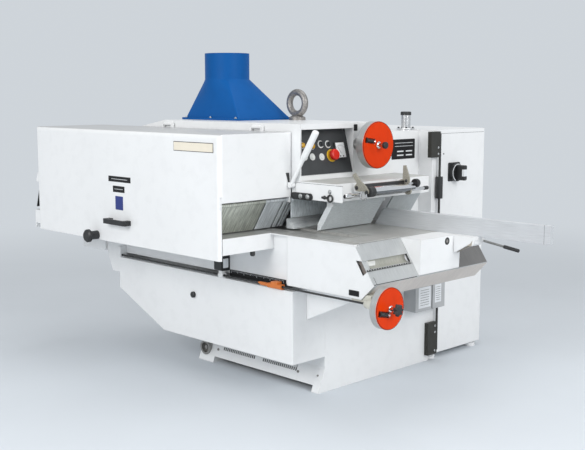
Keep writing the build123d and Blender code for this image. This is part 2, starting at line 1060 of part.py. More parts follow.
# Guard block in front of the fingers
with BuildPart() as guard_block:
    with BuildSketch(Plane.XY.offset(guard_bottom)):
        with BuildLine():
            Polyline(
                (guard_left, overarm_front),
                (guard_right, overarm_front),
                (guard_right, guard_back),
                (column_right, guard_back),
                (column_right, column_front),
                (guard_left, column_front),
                close=True,
            )
        make_face()
    extrude(amount=overarm_bottom - guard_bottom)
    fillet(guard_block.edges().filter_by(Axis.Z).group_by(Axis.X)[-1], 10)
    guard_under = guard_block.faces().sort_by(Axis.Z)[0]
    offset(amount=-guard_wall, openings=guard_under, kind=Kind.INTERSECTION)
    for lug_y in (finger_start - 2 - finger_lug, finger_end + 2):
        side_plate(
            [
                (finger_pivot_x - 18, overarm_bottom - guard_wall / 2),
                (finger_pivot_x - 18, finger_pivot_z - 14),
                (finger_pivot_x + 18, finger_pivot_z - 14),
                (finger_pivot_x + 18, overarm_bottom - guard_wall / 2),
            ],
            lug_y,
            lug_y + finger_lug,
        )
        turn_y(
            rod(lug_y - 1, lug_y + finger_lug + 1, finger_shaft_radius + running_gap),
            finger_pivot_x,
            finger_pivot_z,
            mode=Mode.SUBTRACT,
        )
    turn_y(
        rod(overarm_front - 1, overarm_front + guard_wall + 1, 9 + running_gap),
        lever_x,
        lever_z,
        mode=Mode.SUBTRACT,
    )
    for lug_low in (hold_low_y + hold_plate + 4, hold_high_y - hold_plate - 4 - 2 * hold_plate):
        block(
            (guard_right - 1, hold_pivot_x + 18),
            (lug_low, lug_low + 2 * hold_plate),
            (hold_pivot_z - 24, hold_pivot_z + 22),
        )
        turn_y(
            rod(lug_low - 1, lug_low + 2 * hold_plate + 1, hold_pin_radius + running_gap),
            hold_pivot_x,
            hold_pivot_z,
            mode=Mode.SUBTRACT,
        )

    deflector_foot = table_height + deflector_gap
    deflector_foot_x = finger_pivot_x + deflector_lead - (finger_pivot_z - deflector_foot) * finger_slope
    deflector_head_x = guard_right - guard_wall + 2
    deflector_head = deflector_foot + (deflector_head_x - deflector_foot_x) / finger_slope
    side_plate(
        [
            (deflector_foot_x, deflector_foot),
            (deflector_head_x, deflector_head),
            (deflector_head_x - deflector_plate, deflector_head),
            (deflector_foot_x - deflector_plate, deflector_foot),
        ],
        fence_front + fence_thickness + 4,
        guard_back - guard_wall / 2,
    )

# Row of anti-kickback fingers on one shaft
finger_run = finger_tip_x - finger_pivot_x
finger_fall = table_height + finger_tip_gap - finger_pivot_z
finger_reach = hypot(finger_run, finger_fall)
finger_down = (finger_run / finger_reach, finger_fall / finger_reach)
finger_side = (finger_down[1], -finger_down[0])


def finger_point(pivot, down, side):
    """Point of a finger's outline: distance down the finger and to its back."""
    x = pivot[0] + down * finger_down[0] + side * finger_side[0]
    z = pivot[1] + down * finger_down[1] + side * finger_side[1]
    return (x, z)


def finger_outline(pivot, reach, width):
    """Leaning finger with a chisel tip on its back edge."""
    half = width / 2
    return [
        finger_point(pivot, -half, -half),
        finger_point(pivot, -half, half),
        finger_point(pivot, reach - 2 * half, half),
        finger_point(pivot, reach, 0),
        finger_point(pivot, reach - half, -half),
    ]


with BuildPart() as finger_row:
    for journal_low, journal_high in (
        (finger_start - 2 - finger_lug, finger_start),
        (finger_end, finger_end + 2 + finger_lug),
    ):
        turn_y(rod(journal_low, journal_high, finger_shaft_radius), finger_pivot_x, finger_pivot_z)
    with BuildSketch(across(finger_end)):
        with Locations((finger_pivot_x, finger_pivot_z)):
            RegularPolygon(finger_shaft_radius, 6)
    extrude(amount=finger_end - finger_start)
    for index in range(finger_count):
        finger_y = finger_start + index * finger_pitch
        side_plate(
            finger_outline((finger_pivot_x, finger_pivot_z), finger_reach, finger_width),
            finger_y,
            finger_y + finger_thickness,
        )

# White lever that lifts the fingers
with BuildPart() as finger_lever:
    lever_y = overarm_front - lever_thick - 3
    turn_y(rod(lever_y - lever_thin - 2, overarm_front - 2, lever_thin + 5), lever_x, lever_z)
    turn_y(rod(overarm_front - 3, overarm_front + guard_wall, 9), lever_x, lever_z)
    lever_plane = Plane(
        origin=(lever_x, lever_y, lever_z),
        x_dir=(0, 1, 0),
        z_dir=(sin(radians(lever_lean)), 0, cos(radians(lever_lean))),
    )
    with BuildSketch(lever_plane):
        Circle(lever_thin)
    extrude(amount=lever_length * 0.5)
    with BuildSketch(lever_plane.offset(lever_length * 0.45)):
        Circle(lever_thin)
    with BuildSketch(lever_plane.offset(lever_length * 0.55)):
        Circle(lever_thick)
    loft()
    with BuildSketch(lever_plane.offset(lever_length * 0.55)):
        Circle(lever_thick)
    extrude(amount=lever_length * 0.45)
    fillet(finger_lever.faces().sort_by(Axis.Z)[-1].edges(), 10)

# Swinging arm and roller of the hold-down
with BuildPart() as holddown_arm:
    hold_outline = [
        (hold_pivot_x - 15, hold_tip_z),
        (hold_pivot_x - 5, hold_tip_z),
        (hold_pivot_x + 22, hold_pivot_z + 12),
        (hold_roller_x + 16, hold_roller_z + 14),
        (hold_roller_x + 16, hold_roller_z - 16),
        (hold_pivot_x + 30, hold_pivot_z - 44),
        (hold_pivot_x + 8, hold_pivot_z - 44),
        (hold_pivot_x - 16, hold_pivot_z - 6),
    ]
    for plate_low in (hold_low_y - hold_plate, hold_high_y):
        side_plate(hold_outline, plate_low, plate_low + hold_plate)
        turn_y(
            rod(plate_low - 1, plate_low + hold_plate + 1, hold_pin_radius + running_gap),
            hold_roller_x,
            hold_roller_z,
            mode=Mode.SUBTRACT,
        )
    block(
        (hold_pivot_x + 28, hold_pivot_x + 44),
        (hold_low_y - 1, hold_high_y + 1),
        (hold_pivot_z + 4, hold_pivot_z + 20),
    )
    pin_end = hold_plate + 4 + 2 * hold_plate
    turn_y(rod(hold_low_y - 1, hold_low_y + pin_end, hold_pin_radius), hold_pivot_x, hold_pivot_z)
    turn_y(rod(hold_high_y - pin_end, hold_high_y + 1, hold_pin_radius), hold_pivot_x, hold_pivot_z)
    for handle_start, handle_stop in (
        (hold_low_y - hold_plate - hold_handle_reaches[0], hold_low_y - 1),
        (hold_high_y + 1, hold_high_y + hold_plate + hold_handle_reaches[1]),
    ):
        turn_y(rod(handle_start, handle_stop, 9), hold_pivot_x + 20, hold_pivot_z - 34)

with BuildPart() as holddown_roller:
    cap = 24
    turn_y(
        [
            (hold_low_y - hold_plate, 0),
            (hold_low_y - hold_plate, hold_pin_radius),
            (hold_low_y + 1, hold_pin_radius),
            (hold_low_y + 1, hold_cap_radius),
            (hold_low_y + cap, hold_cap_radius),
            (hold_low_y + cap, hold_roller_radius),
            (hold_high_y - cap, hold_roller_radius),
            (hold_high_y - cap, hold_cap_radius),
            (hold_high_y - 1, hold_cap_radius),
            (hold_high_y - 1, hold_pin_radius),
            (hold_high_y + hold_plate, hold_pin_radius),
            (hold_high_y + hold_plate, 0),
        ],
        hold_roller_x,
        hold_roller_z,
    )

# Lift-up hood, open behind and below, with the board opening in both ends
curtain_lugs = (hood_front + hood_wall + 2, hood_back - 2 - curtain_plate)
with BuildPart() as hood_void:
    block(
        (hood_left + hood_wall, hood_right - hood_wall),
        (hood_front + hood_wall, hood_back + hood_corner),
        (hood_bottom - hood_corner, hood_top - hood_wall),
    )
    void_corners = hood_void.edges().filter_by(Axis.Z).group_by(Axis.Y)[0]
    void_top = hood_void.edges().filter_by(Axis.X).group_by(Axis.Y)[0].sort_by(Axis.Z)[-1]
    fillet(void_corners + [void_top], hood_corner - hood_wall)

with BuildPart() as hood_shell:
    block((hood_left, hood_right), (hood_front, hood_back), (hood_bottom, hood_top))
    front_corners = hood_shell.edges().filter_by(Axis.Z).group_by(Axis.Y)[0]
    top_edge = hood_shell.edges().filter_by(Axis.X).group_by(Axis.Y)[0].sort_by(Axis.Z)[-1]
    fillet(front_corners + [top_edge], hood_corner)
    add(hood_void.part, mode=Mode.SUBTRACT)
    left_end = (hood_left - 1, hood_left + 2 * hood_return)
    right_end = (hood_right - 2 * hood_return, hood_right + 1)
    for end_span in (left_end, right_end):
        block(
            end_span,
            (hood_front + hood_return, hood_back + 1),
            (hood_bottom - 1, hood_opening_top),
            mode=Mode.SUBTRACT,
        )
    for hinge_x in hinge_places:
        for side in (-1, 1):
            lug_near = hinge_x + side * (hinge_width / 2 + seat_gap)
            lug_far = lug_near + side * hinge_lug
            lug_span = (min(lug_near, lug_far), max(lug_near, lug_far))
            block(lug_span, (hinge_y - 12, hinge_y + 5), (hood_top - 1, hinge_z))
            turn_x(rod(lug_span[0], lug_span[1], hinge_barrel_radius - 3), hinge_y, hinge_z)
        turn_x(
            rod(hinge_x - hinge_width / 2 - 2, hinge_x + hinge_width / 2 + 2, hinge_pin_radius),
            hinge_y,
            hinge_z,
        )
    for lug_low in curtain_lugs:
        block(
            (curtain_x - 14, hood_right - 1),
            (lug_low, lug_low + curtain_plate),
            (curtain_z - 14, hood_opening_top + 30),
        )
        turn_y(
            rod(lug_low - 1, lug_low + curtain_plate + 1, curtain_rod_radius + running_gap),
            curtain_x,
            curtain_z,
            mode=Mode.SUBTRACT,
        )
    turn_y(
        rod(hood_front - 1, hood_front + hood_wall + 1, latch_neck_radius / 2 + running_gap),
        latch_x,
        latch_z,
        mode=Mode.SUBTRACT,
    )

# Swinging splinter curtain in the hood's infeed opening
curtain_splits = ((-938, -684), (-672, -608), (-596, -538), (-526, -500))
curtain_reach = (curtain_z - table_height - 6) / -finger_down[1]
with BuildPart() as splinter_curtain:
    turn_y(
        rod(curtain_lugs[0], curtain_lugs[1] + curtain_plate, curtain_rod_radius),
        curtain_x,
        curtain_z,
    )
    for split_low, split_high in curtain_splits:
        side_plate(
            finger_outline((curtain_x, curtain_z), curtain_reach, 2 * curtain_plate),
            split_low,
            split_high,
        )

with BuildPart() as hood_handle:
    handle_foot = 34
    for side in (-1, 1):
        foot_x = handle_x + side * (handle_length - handle_foot) / 2
        block(
            (foot_x - handle_foot / 2, foot_x + handle_foot / 2),
            (hood_front - handle_reach, hood_front),
            (handle_z - handle_width / 2, handle_z + handle_width / 2),
        )
    block(
        (handle_x - handle_length / 2, handle_x + handle_length / 2),
        (hood_front - handle_reach, hood_front - handle_reach + 16),
        (handle_z - handle_width / 2, handle_z + handle_width / 2),
    )
    fillet(hood_handle.edges().filter_by(Axis.Z).group_by(Axis.Y)[0], 9)

with BuildPart() as hood_latch_knob:
    turn_y(
        [
            (hood_front - latch_reach, 0),
            (hood_front - latch_reach, latch_head_radius - 8),
            (hood_front - latch_reach + 8, latch_head_radius),
            (hood_front - latch_reach + 22, latch_head_radius),
            (hood_front - latch_reach + 30, latch_neck_radius),
            (hood_front - seat_gap, latch_neck_radius),
            (hood_front - seat_gap, latch_neck_radius / 2),
            (hood_front + hood_wall + 2, latch_neck_radius / 2),
            (hood_front + hood_wall + 2, 0),
        ],
        latch_x,
        latch_z,
    )

# Saw arbor with its blades, bearing housing and motor
with BuildPart() as arbor_housing:
    turn_y(
        [
            (housing_front, arbor_radius + running_gap),
            (housing_front, housing_radius - 14),
            (housing_front + 24, housing_radius),
            (base_back, housing_radius),
            (base_back, arbor_radius + running_gap),
        ],
        arbor_x,
        arbor_z,
    )

blade_last_y = blade_first_y + (blade_count - 1) * blade_pitch
arbor_flange_y = blade_last_y + blade_thickness
motor_bore = 80
with BuildPart() as saw_arbor:
    turn_y(
        [
            (arbor_end, 0),
            (arbor_end, arbor_radius),
            (arbor_flange_y, arbor_radius),
            (arbor_flange_y, collar_radius + 8),
            (arbor_flange_y + 18, collar_radius + 8),
            (arbor_flange_y + 18, arbor_radius),
            (base_back + motor_bore - 2, arbor_radius),
            (base_back + motor_bore - 2, 0),
        ],
        arbor_x,
        arbor_z,
    )
    with BuildSketch(across(blade_first_y)):
        with Locations((arbor_x, arbor_z)):
            RegularPolygon(collar_radius, 6)
            Circle(arbor_radius + running_gap, mode=Mode.SUBTRACT)
    extrude(amount=30, mode=Mode.ADD)

with BuildPart() as saw_blades:
    for index in range(blade_count):
        blade_y = blade_first_y + index * blade_pitch
        teeth = []
        for tooth in range(blade_teeth):
            start = 2 * pi * tooth / blade_teeth
            finish = start + 2 * pi / blade_teeth * 0.85
            root = blade_radius - blade_tooth_depth
            teeth.append((arbor_x + blade_radius * cos(start), arbor_z + blade_radius * sin(start)))
            teeth.append((arbor_x + root * cos(finish), arbor_z + root * sin(finish)))
        side_plate(teeth, blade_y, blade_y + blade_thickness)
        if index < blade_count - 1:
            collar_span = (blade_y + blade_thickness, blade_y + blade_pitch - 0.2)
            turn_y(rod(*collar_span, collar_radius), arbor_x, arbor_z)
    turn_y(
        rod(blade_first_y - 1, arbor_flange_y + 1, arbor_radius + 2 * running_gap),
        arbor_x,
        arbor_z,
        mode=Mode.SUBTRACT,
    )

with BuildPart() as saw_motor:
    turn_y(
        [
            (base_back, arbor_radius + running_gap),
            (base_back, motor_flange_radius),
            (base_back + 20, motor_flange_radius),
            (base_back + 34, motor_radius - motor_fin),
            (base_back + motor_length - 70, motor_radius - motor_fin),
            (base_back + motor_length - 70, motor_radius),
            (base_back + motor_length - 10, motor_radius),
            (base_back + motor_length, motor_radius - 20),
            (base_back + motor_length, 0),
            (base_back + motor_bore, 0),
            (base_back + motor_bore, arbor_radius + running_gap),
        ],
        arbor_x,
        arbor_z,
    )
    fin_end = base_back + motor_length - 72
    with BuildSketch(Plane(origin=(arbor_x, fin_end, arbor_z), x_dir=(1, 0, 0), z_dir=(0, -1, 0))):
        with PolarLocations(motor_radius - motor_fin / 2 - 2, 20):
            Rectangle(motor_fin + 4, 5)
    extrude(amount=motor_length - 72 - 30)
    block(
        (arbor_x - 60, arbor_x + 60),
        (base_back + terminal_start, base_back + terminal_start + terminal_length),
        (arbor_z + motor_radius - motor_fin - 4, arbor_z + motor_radius + 46),
    )


def pressure_carrier(span, roller_x):
    """Carrier plate with two guide posts and a forked pair of cheeks for its roller."""
    block(span, (pressure_low_y, pressure_high_y), (pressure_plate_z, pressure_plate_z + pressure_plate))
    middle = (span[0] + span[1]) / 2
    for post_x, post_y in post_places:
        if abs(post_x - middle) < (span[1] - span[0]) / 2:
            turn_z(rod(pressure_plate_z, pressure_post_top, pressure_post_radius), post_x, post_y)
    axle_z = pressure_plate_z - pressure_roller_drop
    for cheek_low in (pressure_low_y, pressure_high_y - pressure_cheek):
        side_plate(
            [
                (roller_x - 34, pressure_plate_z + 1),
                (roller_x - 16, axle_z - 20),
                (roller_x + 16, axle_z - 20),
                (roller_x + 34, pressure_plate_z + 1),
            ],
            cheek_low,
            cheek_low + pressure_cheek,
        )
        turn_y(
            rod(cheek_low - 1, cheek_low + pressure_cheek + 1, 10 + running_gap),
            roller_x,
            axle_z,
            mode=Mode.SUBTRACT,
        )


def pressure_roller(roller_x):
    """Crowned roller with stub axles in the carrier's cheeks."""
    low = pressure_low_y + pressure_cheek + 1
    high = pressure_high_y - pressure_cheek - 1
    turn_y(
        [
            (pressure_low_y, 0),
            (pressure_low_y, 10),
            (low, 10),
            (low, pressure_roller_radius - 4),
            (low + 8, pressure_roller_radius),
            (high - 8, pressure_roller_radius),
            (high, pressure_roller_radius - 4),
            (high, 10),
            (pressure_high_y, 10),
            (pressure_high_y, 0),
        ],
        roller_x,
        pressure_plate_z - pressure_roller_drop,
    )


front_roller_x = pressure_front_span[0] + 36
rear_roller_x = pressure_rear_span[1] - 36

with BuildPart() as pressure_carrier_front:
    pressure_carrier(pressure_front_span, front_roller_x)

with BuildPart() as pressure_carrier_rear:
    pressure_carrier(pressure_rear_span, rear_roller_x)

with BuildPart() as pressure_roller_front:
    pressure_roller(front_roller_x)

with BuildPart() as pressure_roller_rear:
    pressure_roller(rear_roller_x)


def handwheel(face_x, depth, radius, y, z, bay, tilt, hub_end, hub_radius, bore_radius):
    """Dished wheel with a deep rim, a hub and a tilted bay for the folding grip."""
    back = face_x - depth
    turn_x(
        [
            (hub_end, bore_radius),
            (hub_end, hub_radius),
            (face_x - wheel_disc, hub_radius),
            (face_x - wheel_disc, radius - wheel_rim),
            (back, radius - wheel_rim),
            (back, radius),
            (face_x - 4, radius),
            (face_x, radius - 4),
            (face_x, 0),
            (face_x - wheel_disc / 2, 0),
            (face_x - wheel_disc / 2, bore_radius),
        ],
        y,
        z,
    )
    bay_floor = face_x - wheel_disc + 2
    bay_length = grip_length + grip_radius + 2 * grip_bay
    with Locations(Location((bay_floor + wheel_disc / 2, y + bay[0], z + bay[1]), (tilt, 0, 0))):
        Box(wheel_disc, bay_length, 2 * (grip_radius + grip_bay), mode=Mode.SUBTRACT)


# Grip that folds about a pin at its outer end, drawn level about the middle of its bay
with BuildPart() as folding_grip:
    pivot_y = -(grip_length - grip_radius) / 2
    turn_y(
        [
            (pivot_y, 0),
            (pivot_y, grip_radius - 3),
            (pivot_y + 8, grip_radius - 3),
            (pivot_y + 16, grip_radius),
            (pivot_y + grip_length - 6, grip_radius - 1),
            (pivot_y + grip_length, grip_radius - 5),
            (pivot_y + grip_length, 0),
        ],
        0,
        0,
    )
    pin_half = grip_radius + grip_bay - seat_gap
    turn_z(rod(-pin_half, pin_half, grip_pin_radius), 0, pivot_y + grip_pin_radius)


def grip_place(face_x, y, z, bay, tilt):
    """Where a wheel's grip lies, in its bay."""
    x = face_x - wheel_disc + 2 + grip_radius + seat_gap
    return Location((x, y + bay[0], z + bay[1]), (tilt, 0, 0))


with BuildPart() as upper_handwheel:
    handwheel(
        upper_wheel_face,
        upper_wheel_depth,
        upper_wheel_radius,
        upper_wheel_y,
        upper_wheel_z,
        upper_bay,
        upper_bay_tilt,
        column_right + 1,
        32,
        wheel_shaft_radius,
    )
    turn_x(
        rod(wheel_boss_x, upper_wheel_face - wheel_disc / 2 + 1, wheel_shaft_radius),
        upper_wheel_y,
        upper_wheel_z,
    )

with BuildPart() as upper_wheel_grip:
    with Locations(grip_place(upper_wheel_face, upper_wheel_y, upper_wheel_z, upper_bay, upper_bay_tilt)):
        add(folding_grip.part)

with BuildPart() as lower_handwheel:
    handwheel(
        lower_wheel_face,
        lower_wheel_depth,
        lower_wheel_radius,
        setting_y,
        setting_z,
        lower_bay,
        lower_bay_tilt,
        lower_wheel_face - lower_wheel_depth + 6,
        26,
        setting_radius + 3 * running_gap,
    )

with BuildPart() as lower_wheel_grip:
    with Locations(grip_place(lower_wheel_face, setting_y, setting_z, lower_bay, lower_bay_tilt)):
        add(folding_grip.part)

with BuildPart() as setting_shaft:
    turn_x(
        rod(setting_left, lower_wheel_face - wheel_disc / 2 - 1, setting_radius),
        setting_y,
        setting_z,
    )

# Bearing brackets of the setting shaft
with BuildPart() as wheel_bracket:
    cone_end = lower_wheel_face - lower_wheel_depth - 2
    turn_x(
        [
            (bracket_cone_x, 0),
            (bracket_cone_x, bracket_cone_radius),
            (cone_end - 18, bracket_cone_radius - 12),
            (cone_end, bracket_cone_radius - 12),
            (cone_end, 0),
        ],
        setting_y,
        setting_z,
    )
    block(
        (tray_back_x + 8, bracket_cone_x + 4),
        (setting_y + setting_radius + 4, bed_front + 40),
        (setting_z - 6, base_top - nose_sheet),
    )
    turn_x(
        rod(bracket_cone_x - 1, cone_end + 1, setting_radius + running_gap),
        setting_y,
        setting_z,
        mode=Mode.SUBTRACT,
    )

with BuildPart() as tail_bracket:
    block(
        (setting_left, setting_left + 22),
        (setting_y - 16, bed_front),
        (cover_top + 2, base_top + 44),
    )
    fillet(tail_bracket.edges().filter_by(Axis.X).group_by(Axis.Y)[0], 10)
    turn_x(
        rod(setting_left - 1, setting_left + 23, setting_radius + running_gap),
        setting_y,
        setting_z,
        mode=Mode.SUBTRACT,
    )

with BuildPart() as pointer_nut:
    block(
        (nut_x - nut_length / 2, nut_x + nut_length / 2),
        (setting_y - nut_width / 2, setting_y + nut_width / 2),
        (setting_z - 13, setting_z + 11),
    )
    chamfer(pointer_nut.edges().filter_by(Axis.X).group_by(Axis.Z)[0], 5)
    block(
        (nut_x - 22, nut_x + 22),
        (setting_y - nut_width / 2, bed_front - scale_thickness - 1),
        (setting_z + 10, scale_low + 8),
    )
    turn_x(
        rod(nut_x - nut_length, nut_x + nut_length, setting_radius + running_gap),
        setting_y,
        setting_z,
        mode=Mode.SUBTRACT,
    )

with BuildPart() as position_counter:
    block(
        (counter_x - counter_width / 2, counter_x + counter_width / 2),
        (bed_front - counter_depth, bed_front),
        (counter_low, counter_low + counter_height),
    )
    fillet(position_counter.edges().filter_by(Axis.X).group_by(Axis.Y)[0], 8)
    block((counter_x - 14, counter_x + 14), (setting_y - 12, setting_y + 12), (setting_z, counter_low + 1))
    turn_x(rod(counter_x - 18, counter_x + 18, 15), setting_y, setting_z)
    turn_x(
        rod(counter_x - 20, counter_x + 20, setting_radius + running_gap),
        setting_y,
        setting_z,
        mode=Mode.SUBTRACT,
    )

# Fence, its carrier on the table's end and the clamp lever
fence_start = finger_tip_x + fence_finger_gap
fence_lever_y = fence_front + fence_thickness + 15
fence_lever_x = end_block_x + carrier_length
fence_lever_z = fence_bottom - carrier_depth / 2
with BuildPart() as fence_bar:
    side_plate(
        [
            (fence_start, fence_bottom),
            (fence_right, fence_bottom),
            (fence_right, fence_bottom + fence_height),
            (fence_start + fence_height * finger_slope, fence_bottom + fence_height),
        ],
        fence_front,
        fence_front + fence_thickness,
    )
    chamfer(fence_bar.edges().filter_by(Axis.X).group_by(Axis.Z)[-1], 3)

with BuildPart() as fence_carrier:
    side_plate(
        [
            (end_block_x + seat_gap, fence_bottom),
            (end_block_x + carrier_length + 14, fence_bottom),
            (end_block_x + carrier_length + 14, fence_bottom - carrier_depth + 10),
            (end_block_x + carrier_length, fence_bottom - carrier_depth),
            (end_block_x + seat_gap + 30, fence_bottom - carrier_depth),
            (end_block_x + seat_gap, fence_bottom - carrier_depth / 2),
        ],
        carrier_front,
        fence_lever_y - fence_lever_radius - 3,
    )
    side_plate(
        [
            (end_block_x + seat_gap, fence_bottom),
            (end_block_x + carrier_length + 28, fence_bottom),
            (end_block_x + carrier_length + 28, fence_bottom - 12),
            (end_block_x + seat_gap, fence_bottom - carrier_gusset),
        ],
        carrier_front,
        carrier_front + carrier_plate,
    )
    turn_y(
        rod(fence_front + 8, fence_lever_y, 9 + running_gap),
        fence_lever_x,
        fence_lever_z,
        mode=Mode.SUBTRACT,
    )

with BuildPart() as fence_lever:
    droop = radians(fence_lever_droop)
    turn_y(rod(fence_front + 10, fence_lever_y + 8, 9), fence_lever_x, fence_lever_z)
    turn_y(rod(fence_lever_y - fence_lever_radius - 2, fence_lever_y + 9, 14), fence_lever_x, fence_lever_z)
    stick = Plane(
        origin=(fence_lever_x, fence_lever_y, fence_lever_z),
        x_dir=(0, 1, 0),
        z_dir=(cos(droop), 0, -sin(droop)),
    )
    with BuildSketch(stick):
        Circle(fence_lever_radius)
    extrude(amount=fence_lever_length)
    with BuildSketch(stick.offset(fence_lever_length - fence_grip_length)):
        Circle(fence_grip_radius)
    extrude(amount=fence_grip_length)
    fillet(fence_lever.faces().sort_by(Axis.X)[-1].edges(), 4)

# Square-to-round dust hood on the overarm
neck_start = overarm_top + dust_flange
collar_x = arbor_x + dust_collar_shift[0]
collar_y = dust_y + dust_collar_shift[1]


def dust_loft(inset, radius, mode=Mode.ADD):
    """Taper from a rounded rectangle to the round collar."""
    with BuildSketch(Plane.XY.offset(neck_start)) as foot:
        with Locations((arbor_x, dust_y)):
            RectangleRounded(dust_width - 2 * inset, dust_depth - 2 * inset, 8)
    with BuildSketch(Plane.XY.offset(dust_neck_z)) as neck:
        with Locations((collar_x, collar_y)):
            Circle(radius)
    loft([foot.sketch, neck.sketch], mode=mode)


with BuildPart() as dust_hood:
    with BuildSketch(Plane.XY.offset(overarm_top)):
        with Locations((arbor_x, dust_y)):
            Rectangle(dust_width, dust_depth)
    extrude(amount=dust_flange)
    dust_loft(dust_inset, dust_collar_radius)
    turn_z(rod(dust_neck_z, dust_top_z, dust_collar_radius), collar_x, collar_y)
    dust_loft(dust_inset + dust_wall, dust_collar_radius - dust_wall, mode=Mode.SUBTRACT)
    turn_z(
        rod(dust_neck_z - 0.01, dust_top_z + 1, dust_collar_radius - dust_wall),
        collar_x,
        collar_y,
        mode=Mode.SUBTRACT,
    )
    with BuildSketch(Plane.XY.offset(overarm_top - 1)):
        with Locations((arbor_x, dust_y)):
            Rectangle(dust_width - 2 * dust_inset - 40, dust_depth - 2 * dust_inset - 40)
    extrude(amount=dust_flange + 2, mode=Mode.SUBTRACT)

# Lifting eye
eye_centre_z = overarm_top + eye_foot + eye_ring_radius + eye_bar_radius - 8
with BuildPart() as lifting_eye:
    turn_z(
        [
            (overarm_top, 0),
            (overarm_top, eye_foot_radius),
            (overarm_top + eye_foot - 8, eye_foot_radius),
            (overarm_top + eye_foot, eye_foot_radius - 14),
            (overarm_top + eye_foot + 6, 0),
        ],
        eye_x,
        eye_y,
    )
    with BuildSketch(Plane.XY.offset(eye_centre_z)):
        with Locations((eye_x + eye_ring_radius, eye_y)):
            Circle(eye_bar_radius)
    revolve(axis=Axis((eye_x, eye_y, eye_centre_z), (0, 1, 0)))

# Guide pillar with its flange and cap
pillar_top = shoulder_top + pillar_flange + pillar_height
with BuildPart() as guide_pillar:
    turn_z(
        [
            (shoulder_top, 0),
            (shoulder_top, pillar_flange_radius),
            (shoulder_top + pillar_flange, pillar_flange_radius),
            (shoulder_top + pillar_flange, pillar_radius),
            (pillar_top, pillar_radius),
            (pillar_top, pillar_cap_radius),
            (pillar_top + pillar_cap_height - 6, pillar_cap_radius),
            (pillar_top + pillar_cap_height, pillar_cap_radius - 6),
            (pillar_top + pillar_cap_height, 0),
        ],
        pillar_x,
        pillar_y,
    )

# Electrical cabinet with its hinged door
door_back = base_right - door_thickness
with BuildPart() as cabinet_body:
    block((cabinet_left, door_back - seat_gap), (base_back, cabinet_back), (cabinet_low, cabinet_top))
    open_end = cabinet_body.faces().sort_by(Axis.X)[-1]
    offset(amount=-cabinet_wall, openings=open_end, kind=Kind.INTERSECTION)
    block(
        (door_back - 30, base_right),
        (base_back, door_low_y - seat_gap * 10),
        (cabinet_low, cabinet_top),
    )
    block(
        (cabinet_left + cowl_left, door_back - cowl_right),
        (cabinet_back - 1, cabinet_back + cabinet_cowl),
        (cabinet_top - cowl_low, cabinet_top - cowl_high),
    )
    fillet(cabinet_body.faces().sort_by(Axis.Y)[-1].edges(), 10)
    for foot_x in (cabinet_left + cabinet_foot_inset, door_back - cabinet_foot_stem - 2):
        for foot_y in (door_low_y - cabinet_foot_inset / 3, cabinet_back - cabinet_foot_inset):
            turn_z(rod(0, cabinet_low - 8, cabinet_foot_radius), foot_x, foot_y)
            turn_z(rod(0, cabinet_low + 1, cabinet_foot_stem), foot_x, foot_y)

with BuildPart() as cabinet_door:
    block(
        (door_back, base_right),
        (door_low_y, cabinet_back),
        (cabinet_low, cabinet_top),
    )
    fillet(cabinet_door.edges().filter_by(Axis.Z).group_by(Axis.X)[-1], 6)
    door_inner = cabinet_door.faces().sort_by(Axis.X)[0]
    offset(amount=-cabinet_wall, openings=door_inner, kind=Kind.INTERSECTION)
    turn_z(rod(sleeve_low, sleeve_high, sleeve_radius), hinge_rod_x, hinge_rod_y)
    block(
        (base_right + 2 * seat_gap, base_right + 6),
        (hinge_rod_y, door_low_y + 50),
        (sleeve_low + 8, sleeve_high - 8),
    )
    block(
        (base_right - 1, base_right + 6),
        (door_low_y + 10, door_low_y + 50),
        (sleeve_low + 8, sleeve_high - 8),
    )
    turn_z(
        rod(sleeve_low - 1, sleeve_high + 1, hinge_rod_radius + running_gap),
        hinge_rod_x,
        hinge_rod_y,
        mode=Mode.SUBTRACT,
    )
    turn_x(
        rod(door_back - 1, base_right + 1, switch_radius / 4 + running_gap),
        switch_y,
        switch_z,
        mode=Mode.SUBTRACT,
    )

with BuildPart() as door_hinge_rod:
    turn_z(rod(60, cabinet_top - 20, hinge_rod_radius), hinge_rod_x, hinge_rod_y)
    for cover_low, cover_high in hinge_cover_spans:
        block(
            (base_right, base_right + hinge_cover_depth),
            (hinge_rod_y - hinge_cover_width, hinge_rod_y),
            (cover_low, cover_high),
        )

with BuildPart() as main_switch_handle:
    turn_x(
        [
            (door_back - 6, 0),
            (door_back - 6, switch_radius / 4),
            (base_right + seat_gap, switch_radius / 4),
            (base_right + seat_gap, switch_radius),
            (base_right + switch_reach / 2, switch_radius),
            (base_right + switch_reach / 2, 0),
        ],
        switch_y,
        switch_z,
    )
    with BuildSketch(along(base_right + switch_reach / 2 - 1)):
        with Locations((switch_y, switch_z)):
            RectangleRounded(28, 2 * switch_radius, 6)
    extrude(amount=switch_reach / 2 + 19)

with BuildPart() as switchgear_plate:
    plate_x = cabinet_left + cabinet_wall
    plate_face = plate_x + gear_plate
    plate_low_y = base_back + gear_side
    plate_low_z = cabinet_low + gear_low
    row_pitch = (cabinet_top - gear_high - plate_low_z) / gear_rows
    place_pitch = (cabinet_back - gear_side - plate_low_y) / gear_rows
    block(
        (plate_x, plate_face),
        (plate_low_y, cabinet_back - gear_side),
        (plate_low_z, cabinet_top - gear_high),
    )
    for row in range(gear_rows):
        for place in range(gear_rows):
            device_y = plate_low_y + (place + 0.5) * place_pitch
            device_z = plate_low_z + (row + 0.5) * row_pitch
            block(
                (plate_face - 1, plate_face + gear_depth * (1 - row / gear_rows / 2)),
                (device_y - place_pitch * 0.36, device_y + place_pitch * 0.36),
                (device_z - row_pitch * 0.26, device_z + row_pitch * 0.26),
            )

